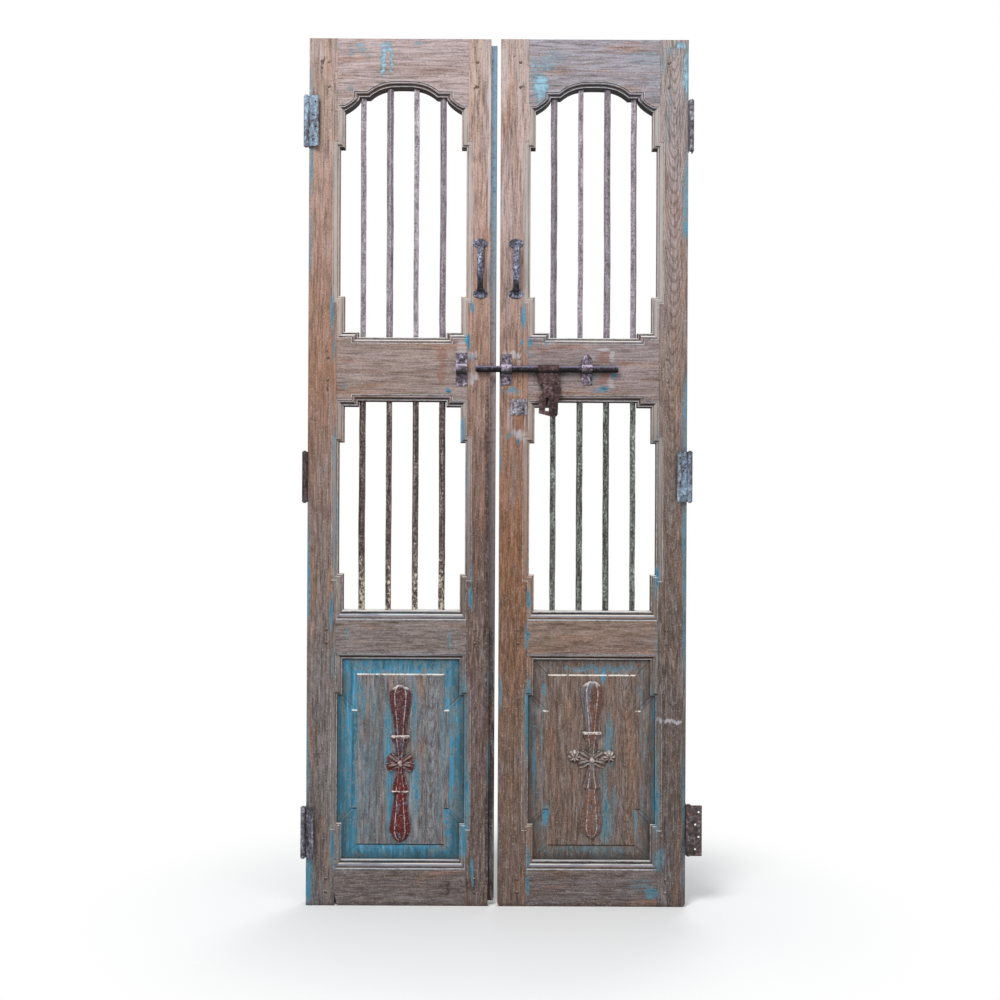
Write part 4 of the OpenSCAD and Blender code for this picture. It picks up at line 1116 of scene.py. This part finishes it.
def add_pod(bm, place, radius, ribs=8, steps=7, around=48):
    """A round seed pod with ribs, standing half out of the field."""
    bead = bm.verts.layers.float["bead"]
    rings = []
    for i in range(steps):
        tip = math.pi / 2 * i / (steps - 0.4)
        ring = []
        for k in range(around):
            angle = 2 * math.pi * k / around
            rib = abs(math.cos(ribs / 2 * angle))
            r = radius * math.cos(tip) * (0.9 + 0.1 * rib)
            out = 1 - (radius - 3) * math.sin(tip)
            vert = bm.verts.new(Vector(place) + Vector((r * math.cos(angle), out, r * math.sin(angle))) * mm)
            vert[bead] = 2 * rib - 1
            ring.append(vert)
        rings.append(ring)
    add_loft(bm, rings)


print("sections for club, bell and petal")

# %% [markdown]
# Old paint on the carving: oxblood on the left, and on the right only a brown stain, which
# turns grey on the far side of the upper club. Fibres and specks break the colour, the
# ridges are rubbed pale, the hollows are dark, and cream dust, also a painted highlight, lies
# on what looks up. Painted shade darkens what looks down and the corners.

# %% Paint of the carvings
# How far the dirt and painted shade in the carving's corners reach.
carving_reach = 0.012


def carved(leaf, levels, far_side, ridge, blue_share):
    """Carved teak with old paint: a colour for each level, worn ridges, blue remains.

    far_side is the colour that creeps in from the left of the upper club, or None.
    """
    low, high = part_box(f"{leaf}_carving")

    def build(tree, place):
        x, _, z = put(tree, "SeparateXYZ", {0: place})[:3]
        fibre = grain_noise(tree, stretched(tree, place, 1, 1, 0.12), 210, 6, 0.75)
        patch = grain_noise(tree, place, 60, 5, 0.7)
        scrap = grain_noise(tree, place, 150, 5, 0.72)
        share = put(tree, "MapRange", {0: z, 1: low[2], 2: high[2]})[0]
        colour = ramp(tree, share, levels)
        if far_side:
            aside = total(tree, calc(tree, "SUBTRACT", leaf_x[leaf], x),
                          times(tree, patch, 0.05), -0.025)
            there = times(tree, span(tree, aside, -0.003, 0.003), span(tree, share, 0.64, 0.7))
            colour = layer(tree, times(tree, there, 0.6), colour, tone(far_side))
        colour = layer(tree, span(tree, fibre, 0.52, 0.36, 0.0, 0.65), colour, tone("#221716"))
        colour = layer(tree, span(tree, fibre, 0.56, 0.7, 0.0, 0.35), colour, tone("#a58f88"))
        speck = grain_noise(tree, place, 240, 3, 0.65)
        colour = layer(tree, span(tree, speck, 0.45, 0.33, 0.0, 0.55), colour, tone("#1f1514"))
        colour = layer(tree, span(tree, speck, 0.56, 0.68, 0.0, 0.4), colour, tone("#b3a39c"))
        blue_there = span(tree, patch, 0.6 - blue_share, 0.66 - blue_share)
        colour = layer(tree, times(tree, blue_there, 0.6), colour, tone("#5b7f96"))
        bead = worn(tree, "bead")
        colour = layer(tree, span(tree, bead, -0.1, -0.6, 0.0, 0.6), colour, tone("#2a1a1a"))
        crest = times(tree, span(tree, bead, 0.25, 0.8), span(tree, scrap, 0.42, 0.56))
        colour = layer(tree, times(tree, crest, 0.85), colour, tone(ridge))
        up = put(tree, "SeparateXYZ", {0: put(tree, "TexCoord")["Normal"]})[2]
        # Cream dust on what looks up, also a painted highlight.
        cream = times(tree, span(tree, up, 0.3, 0.65), span(tree, scrap, 0.36, 0.5))
        bow = times(tree, span(tree, share, 0.42, 0.46), span(tree, share, 0.6, 0.56))
        cream = times(tree, cream, span(tree, bow, 0.0, 1.0, 0.9, 0.3))
        colour = layer(tree, cream, colour, tone("#dcd6d0"))
        # Painted shade on what looks down.
        colour = layer(tree, span(tree, up, -0.25, -0.7, 0.0, 0.7), colour, tone("#1c1413"))
        # Dirt and painted shade in the corners, by how much open air a point sees.
        open_air = put(tree, "AmbientOcclusion", {"Distance": carving_reach}, samples=8)["AO"]
        colour = layer(tree, span(tree, open_air, 0.75, 0.3, 0.0, 0.7), colour, tone("#1c1413"))
        bump = put(tree, "Bump", {"Strength": 0.5, "Distance": 0.001, "Height": fibre})[0]
        return {"Base Color": colour, "Roughness": 0.7, "Specular IOR Level": 0.25, "Normal": bump}
    return finish(f"{leaf}_carving_paint", build)


RED_LEVELS = [(0.0, "#521618"), (0.3, "#5e181a"), (0.45, "#581b1d"), (0.53, "#561c1f"), (0.6, "#42343b"),
              (0.68, "#4d292c"), (1.0, "#4c282c")]
BROWN_LEVELS = [(0.0, "#6a5046"), (0.3, "#705246"), (0.36, "#5e5250"), (0.46, "#6f5a52"), (0.55, "#5c5149"),
                (0.68, "#69463b"), (1.0, "#624339")]
CARVING_PAINT = {"left": carved("left", RED_LEVELS, None, "#d0c2bc", 0.02),
                 "right": carved("right", BROWN_LEVELS, "#6f727a", "#d6c4be", 0.03)}

# %% [markdown]
# Now the carvings themselves, from the foot up. Heights are in millimetres above the foot,
# so that an ornament moves as one piece with its solid. Both leaves share one pattern; the
# left has a rim under its bell, and the right has a seed pod at each side of the bow.

# %% Carvings
LOWER_CLUB = [(0, 3, 4), (10, 16, 7.5), (27, 26, 11), (45, 25, 12), (90, 18, 10), (129, 13, 8.5)]
BELL_RUN = [(126, 20, 9), (129, 21.5, 10.5), (138, 19.5, 10), (155, 14, 9), (180, 9, 7.5)]
VASE_RUN = [(176, 8, 7), (205, 9, 7.5), (232, 12, 8.5), (262, 20, 10.5)]
RIM_RUN = [(124.5, 18, 8), (126, 21, 10), (128.5, 21.5, 10.8), (130, 19.5, 9.5)]
COLLAR_RUN = [(260.5, 22, 9), (262, 24, 11), (266, 24, 11.5), (268.5, 21, 9)]
UPPER_CLUB = [(267, 13, 8), (300, 17, 9.5), (336, 24, 11.5), (364, 28.5, 12), (378, 26, 10.5),
              (388, 17, 8), (394, 7, 5)]
LOBES = [(LOWER_CLUB, CLUB), (BELL_RUN, BELL), (VASE_RUN, BELL), (UPPER_CLUB, CLUB)]
COLLAR = [(-1, 0, 0), (-1, .8, .8), (-.9, 1, 1), (0, 1, .6)]
RIM = [(-1, 0, 0), (-1, .8, .8), (-.9, 1, 1), (0, 1, 1)]
KNOT = [(-1, 0, 0), (-1, .7, .3), (0, 1, 1)]
KNOT_RUN = [(-9, 1, 7), (-7, 3, 9.5), (0, 9, 12), (7, 3, 9.5), (9, 1, 7)]
bow_z, petal_angles = 197, (58, 106)
PETAL_RUN = [(0, 4, 6.5), (12, 8, 10.5), (26, 10.5, 10), (35, 10, 5.5)]
pod_x, pod_z, pod_r = 43, 206, 16.5


def make_carving(leaf):
    node = f"{leaf}_carving"
    place = Vector((leaf_x[leaf], field_y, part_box(node)[0][2]))
    bow = place + Vector((0, 0, bow_z * mm))
    bm = new_shell()
    for stations, section in LOBES:
        add_lobe(bm, place, stations, section)
    add_lobe(bm, place, COLLAR_RUN, COLLAR, 8)
    if leaf == "left":
        add_lobe(bm, place, RIM_RUN, RIM, 8)
    for angle in petal_angles:
        for side in (-1, 1):
            add_lobe(bm, bow, PETAL_RUN, PETAL, 12, side * math.radians(angle))
    add_lobe(bm, bow, KNOT_RUN, KNOT, 9)
    if leaf == "right":
        for side in (-1, 1):
            add_pod(bm, place + Vector((side * pod_x * mm, 0, pod_z * mm)), pod_r)
    return new_piece(f"worked_{node}", bm, body_of[node], "carved_wood", CARVING_PAINT[leaf], node, sharp=32)


for leaf in LEAVES:
    piece = make_carving(leaf)
    print(piece.name, len(piece.data.polygons), "faces")

# %% [markdown]
# Iron bars stand upright in each light, every one turned a little. They were
# hammered square by hand, so their arrises are soft and not quite straight: the copy is
# cut across every 30 mm and each cut is shifted by a fraction of a millimetre.

# %% Bars
bar_names = sorted(n for n in nodes if "_bar_" in n)
bar_arris, hammer_step = 1.6 * mm, 0.03
bar_shift, point_shift = 0.22, 0.12
upper_light_z = 1.3
shaken = np.random.default_rng(7)


def make_bar(node):
    leaf = node.split("_")[0]
    low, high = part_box(node)
    bm = copy_of(node)
    soften(bm, lambda e: abs(e.verts[0].co.z - e.verts[1].co.z) > 0.1, bar_arris, 2)
    for z in np.arange(low[2] + hammer_step, high[2] - 0.02, hammer_step):
        cut_through(bm, (0, 0, z), (0, 0, 1))
        push = Vector((*shaken.normal(0, bar_shift, 2), 0)) * mm
        for vert in bm.verts:
            if abs(vert.co.z - z) < 1e-5:
                vert.co += push + Vector((*shaken.normal(0, point_shift, 2), 0)) * mm
    material = (UPPER_BARS if low[2] > upper_light_z else LOWER_BARS)[leaf]
    return new_piece(f"worked_{node}", bm, body_of[node], "bar_iron", material, node, sharp=30)


for node in bar_names:
    make_bar(node)
print(len(bar_names), "bars")

# %% [markdown]
# Fittings: hinge plates, the sliding bolt with its hasp, the straps that hold
# it and the lock plate. All are forged or cut from plate, so their edges are
# eased by a small bevel that shows as a pale worn line.

# %% Fittings
fitting_edge = 0.5 * mm
FITTINGS = {name: GUIDE_IRON for name in nodes if name.endswith(("staple", "guide"))}
FITTINGS.update({"bolt_rod": BOLT_IRON, "hasp": HASP_IRON, "lock_plate": LOCK_IRON})
FITTINGS.update({name: PLATE_FINISH["_".join(name.split("_")[:2])] for name in nodes if "_hinge_f" in name})
FITTINGS.update({name: GREY_PLATE for name in nodes if name.endswith("hinge_pins")})


def make_fitting(node, material):
    bm = copy_of(node)
    soften(bm, lambda e: e.calc_face_angle(0) > 0.6, fitting_edge, 2)
    slot_name = "hinge_plate" if "hinge_f" in node else "fitting_iron"
    return new_piece(f"worked_{node}", bm, body_of[node], slot_name, material, node)


for node, material in FITTINGS.items():
    make_fitting(node, material)
print(len(FITTINGS), "fittings")

# %% [markdown]
# Each leaf has a bow handle: a flat oval lug at each end, two screws in each
# lug, and a grip that swells in the middle. The grip is a loft of ovals along
# the bow, which a smith gets by drawing out a rod and flattening its ends.

# %% Handles
lug_half = (18.5, 12)
grip_sides, grip_steps = 16, 41
grip_thick, grip_half = 4.5, 8.5
LUG_LEVELS = [(1.0, -0.3), (1.0, 1.4), (0.95, 2.5), (0.84, 3.0), (0.7, 2.4), (0.3, 2.2)]


def make_handle(leaf):
    node = f"{leaf}_handle"
    low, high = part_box(node)
    middle = Vector(((low[0] + high[0]) / 2, face_y, (low[2] + high[2]) / 2))
    reach = (face_y - low[1]) / mm
    half_z = (high[2] - low[2]) / 2 / mm
    lug_z = half_z - lug_half[1]
    bm = new_shell()
    rings = []
    for i in range(grip_steps):
        angle = math.pi * (i / (grip_steps - 1) - 0.5)
        run = math.sin(angle)
        lift = math.cos(angle) ** 0.7 if abs(run) < 1 else 0.0
        thick = grip_thick - 1.7 * run ** 4
        half = grip_half - 3.0 * run ** 2 + 3.5 * run ** 8
        z, out = run * (lug_z - 6), 1.0 + lift * (reach - 1.0 - grip_thick)
        along = Vector((0, -lift * run, max(0.15, math.cos(angle)))).normalized()
        across = Vector((0, -along.z, along.y))
        ring = []
        for k in range(grip_sides):
            turn = 2 * math.pi * k / grip_sides
            point = Vector((half * math.cos(turn), -out, z)) + across * thick * math.sin(turn)
            point.y = min(point.y, -0.2)
            ring.append(bm.verts.new(middle + point * mm))
        rings.append(ring)
    add_loft(bm, rings)
    for end in (-1, 1):
        add_loft(bm, [[bm.verts.new(middle + Vector((lug_half[0] * size * math.cos(a), -out,
                                                     end * lug_z + lug_half[1] * size * math.sin(a))) * mm)
                       for a in np.linspace(0, 2 * math.pi, 32, endpoint=False)] for size, out in LUG_LEVELS])
    return new_piece(f"worked_{node}", bm, body_of[node], "fitting_iron", BLACK_IRON, node, sharp=35)


for leaf in LEAVES:
    print(make_handle(leaf).name)

# %% [markdown]
# Where do the screws go? The frame's own screws say it: every separate island of their mesh
# is one screw, and its head is at the end that is wider. So we measure each island and
# keep the place, the outward direction and the radius of its head.

# %% Islands of a solid


def islands(node):
    """The separate shells of a solid, each as an array of its points."""
    bm = bmesh.new()
    bm.from_mesh(nodes[node].data)
    bmesh.ops.remove_doubles(bm, verts=bm.verts, dist=1e-6)
    left, found = set(bm.verts), []
    while left:
        todo, shell = [left.pop()], []
        while todo:
            vert = todo.pop()
            shell.append(vert.co.copy())
            fresh = {e.other_vert(vert) for e in vert.link_edges} & left
            left -= fresh
            todo.extend(fresh)
        found.append(np.array(shell))
    bm.free()
    return found


def screw_heads(node):
    """Centre, outward direction and radius of each screw's head."""
    heads = []
    for points in islands(node):
        low, high = points.min(axis=0), points.max(axis=0)
        axis = int(np.argmax(high - low))
        others = [a for a in range(3) if a != axis]
        middle = (low + high) / 2
        ends = [np.abs(points[np.abs(points[:, axis] - limit) < 1e-5][:, others] - middle[others]).max()
                for limit in (low[axis], high[axis])]
        outward = np.zeros(3)
        outward[axis] = 1 if ends[1] > ends[0] else -1
        place = middle.copy()
        place[axis] = high[axis] if ends[1] > ends[0] else low[axis]
        heads.append((place, outward, max(ends)))
    return heads


HEADS = {leaf: screw_heads(f"{leaf}_screws") for leaf in LEAVES}
print("screws:", {leaf: len(heads) for leaf, heads in HEADS.items()})

# %% [markdown]
# Screws repeat, so Geometry Nodes set them. The tree makes one domed head, cuts its slot
# and puts a copy on each point, turned so that it faces out, with the slot at a random
# angle from a fixed seed. It could be done by copying a mesh in a loop, but a tree keeps
# its sizes as inputs that can be changed in one place.

# %% Tree that sets the screws


def new_tree(name, sockets):
    tree = bpy.data.node_groups.new(name, "GeometryNodeTree")
    tree.interface.new_socket("Geometry", in_out="INPUT", socket_type="NodeSocketGeometry")
    for label, kind in sockets:
        tree.interface.new_socket(label, in_out="INPUT", socket_type=kind)
    tree.interface.new_socket("Geometry", in_out="OUTPUT", socket_type="NodeSocketGeometry")
    return tree, tree.nodes.new("NodeGroupInput").outputs


def named(tree, label, kind):
    return node_in(tree, "GeometryNodeInputNamedAttribute", {"Name": label}, data_type=kind)[0]


screw_tree, given = new_tree("slotted_screws", [
    ("Dome", "NodeSocketFloat"), ("Slot", "NodeSocketFloat"), ("Seed", "NodeSocketInt"),
    ("Material", "NodeSocketMaterial")])
ball = node_in(screw_tree, "GeometryNodeMeshUVSphere", {"Segments": 16, "Rings": 7, "Radius": 1.0})[0]
flat = node_in(screw_tree, "ShaderNodeCombineXYZ", {0: 1.0, 1: 1.0, 2: given["Dome"]})[0]
head = node_in(screw_tree, "GeometryNodeTransform", {"Geometry": ball, "Scale": flat})[0]
slot_size = node_in(screw_tree, "ShaderNodeCombineXYZ", {0: 3.0, 1: given["Slot"], 2: given["Dome"]})[0]
slot_bar = node_in(screw_tree, "GeometryNodeMeshCube", {"Size": slot_size})[0]
slot_lift = node_in(screw_tree, "ShaderNodeCombineXYZ", {2: given["Dome"]})[0]
slot_bar = node_in(screw_tree, "GeometryNodeTransform", {"Geometry": slot_bar, "Translation": slot_lift})[0]
head = node_in(screw_tree, "GeometryNodeMeshBoolean", {0: head, 1: slot_bar},
               operation="DIFFERENCE", solver="EXACT")[0]
facing = node_in(screw_tree, "FunctionNodeAlignRotationToVector",
                 {"Vector": named(screw_tree, "facing", "FLOAT_VECTOR")}, axis="Z")[0]
angle = node_in(screw_tree, "FunctionNodeRandomValue", {2: 0.0, 3: math.pi, "Seed": given["Seed"]},
                data_type="FLOAT")[1]
twist = node_in(screw_tree, "FunctionNodeAxisAngleToRotation", {0: (0, 0, 1), 1: angle})[0]
turned = node_in(screw_tree, "FunctionNodeRotateRotation", {0: facing, 1: twist}, rotation_space="LOCAL")[0]
set_out = node_in(screw_tree, "GeometryNodeInstanceOnPoints", {
    "Points": node_in(screw_tree, "GeometryNodeMeshToPoints", {"Mesh": given["Geometry"]})[0],
    "Instance": head, "Rotation": turned, "Scale": named(screw_tree, "size", "FLOAT")})[0]
real = node_in(screw_tree, "GeometryNodeRealizeInstances", {0: set_out})[0]
dressed = node_in(screw_tree, "GeometryNodeSetMaterial", {0: real, "Material": given["Material"]})[0]
screw_tree.links.new(dressed, screw_tree.nodes.new("NodeGroupOutput").inputs[0])


print("screw tree has", len(screw_tree.nodes), "nodes")

# %% [markdown]
# A tree runs on a mesh of loose points that carry its numbers. The result is turned into a
# plain mesh at once, because only real faces are kept when the model leaves Blender.
# A head sinks a third of a millimetre, so that no light shows under it.

# %% Screws
SCREW = {"Dome": 0.3, "Slot": 0.24, "Seed": 5, "Material": BLACK_IRON}
head_sink = 0.3 * mm


def grown(name, mesh, tree, values):
    """Run a geometry tree on a mesh and hand back the plain mesh that it makes."""
    obj = bpy.data.objects.new(name, mesh)
    scene.collection.objects.link(obj)
    modifier = obj.modifiers.new("grow", "NODES")
    modifier.node_group = tree
    for item in tree.interface.items_tree:
        if item.in_out == "INPUT" and item.name in values:
            modifier[item.identifier] = values[item.name]
    depsgraph = bpy.context.evaluated_depsgraph_get()
    plain = bpy.data.meshes.new_from_object(obj.evaluated_get(depsgraph))
    obj.modifiers.clear()
    obj.data = plain
    plain.name = name
    return obj


def dots(name, places, **numbers):
    """A mesh of loose points that carry the given numbers."""
    mesh = bpy.data.meshes.new(name)
    mesh.from_pydata([tuple(p) for p in places], [], [])
    for label, values in numbers.items():
        vector = np.ndim(values[0]) == 1
        layer_made = mesh.attributes.new(label, "FLOAT_VECTOR" if vector else "FLOAT", "POINT")
        layer_made.data.foreach_set("vector" if vector else "value", np.ravel(values).astype(np.float32))
    return mesh


for leaf in LEAVES:
    node, heads = f"{leaf}_screws", HEADS[leaf]
    where = [place - outward * head_sink for place, outward, r in heads]
    points = dots(f"{leaf}_screw_points", where, facing=[h[1] for h in heads], size=[h[2] for h in heads])
    obj = grown(f"worked_{node}", points, screw_tree, SCREW)
    fasten(obj, body_of[node], "fitting_iron", node)
    print(obj.name, len(obj.data.polygons), "faces")

# %% [markdown]
# Pegs lock the mortise and tenon joints. They are whittled by hand, so each has
# nine flats and ends that taper. A tree sweeps a nine-sided ring along a short
# line from front to back; the girth along that line is a number on its points.

# %% Pegs
peg_tree, given = new_tree("whittled_pegs", [
    ("Flats", "NodeSocketInt"), ("Material", "NodeSocketMaterial")])
ring = node_in(peg_tree, "GeometryNodeCurvePrimitiveCircle", {"Resolution": given["Flats"], "Radius": 1.0})[0]
line = node_in(peg_tree, "GeometryNodeMeshToCurve", {0: given["Geometry"]})[0]
stick = node_in(peg_tree, "GeometryNodeCurveToMesh", {
    "Curve": line, "Profile Curve": ring, "Scale": named(peg_tree, "girth", "FLOAT"), "Fill Caps": True})[0]
real = node_in(peg_tree, "GeometryNodeRealizeInstances", {0: stick})[0]
dressed = node_in(peg_tree, "GeometryNodeSetMaterial", {0: real, "Material": given["Material"]})[0]
peg_tree.links.new(dressed, peg_tree.nodes.new("NodeGroupOutput").inputs[0])
PEG_TONES = ["#463c3a", "#4c403c", "#5a4a44", "#6b564c", "#6e5a52", "#6e5a52"]
PEG_TEAK = {leaf: teak(f"{leaf}_peg_teak", leaf, "z", PEG_TONES) for leaf in LEAVES}
TAPER = [(-0.5, 0.78), (0.5, 1.0), (-0.5, 1.0), (0.5, 0.78)]
peg_flats = 9

for leaf in LEAVES:
    node = f"{leaf}_joint_pegs"
    places, girths, lines = [], [], []
    for points in islands(node):
        low, high = points.min(axis=0), points.max(axis=0)
        radius = (high[0] - low[0]) / 2
        middle = (low + high) / 2
        first = len(places)
        for shift, share in TAPER:
            y = (low[1] if len(places) - first < 2 else high[1]) + shift * mm
            places.append((middle[0], y, middle[2]))
            girths.append(radius * share)
        lines += [(first + i, first + i + 1) for i in range(3)]
    mesh = bpy.data.meshes.new(f"{leaf}_peg_lines")
    mesh.from_pydata(places, lines, [])
    girth = mesh.attributes.new("girth", "FLOAT", "POINT")
    girth.data.foreach_set("value", np.array(girths, np.float32))
    obj = grown(f"worked_{node}", mesh, peg_tree, {"Flats": peg_flats, "Material": PEG_TEAK[leaf]})
    fasten(obj, body_of[node], "dark_wood", node)
    print(obj.name, len(obj.data.polygons), "faces")

# %% [markdown]
# At the end we look for solids that still show as they came, and print the
# box of the dressed model.

# %% Keep the sizes and finish
bare = [name for name, obj in nodes.items() if not obj.hide_render]
print("solids that still show:", bare)
low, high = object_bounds()
print("box", [round(a, 4) for a in (*low, *high)])
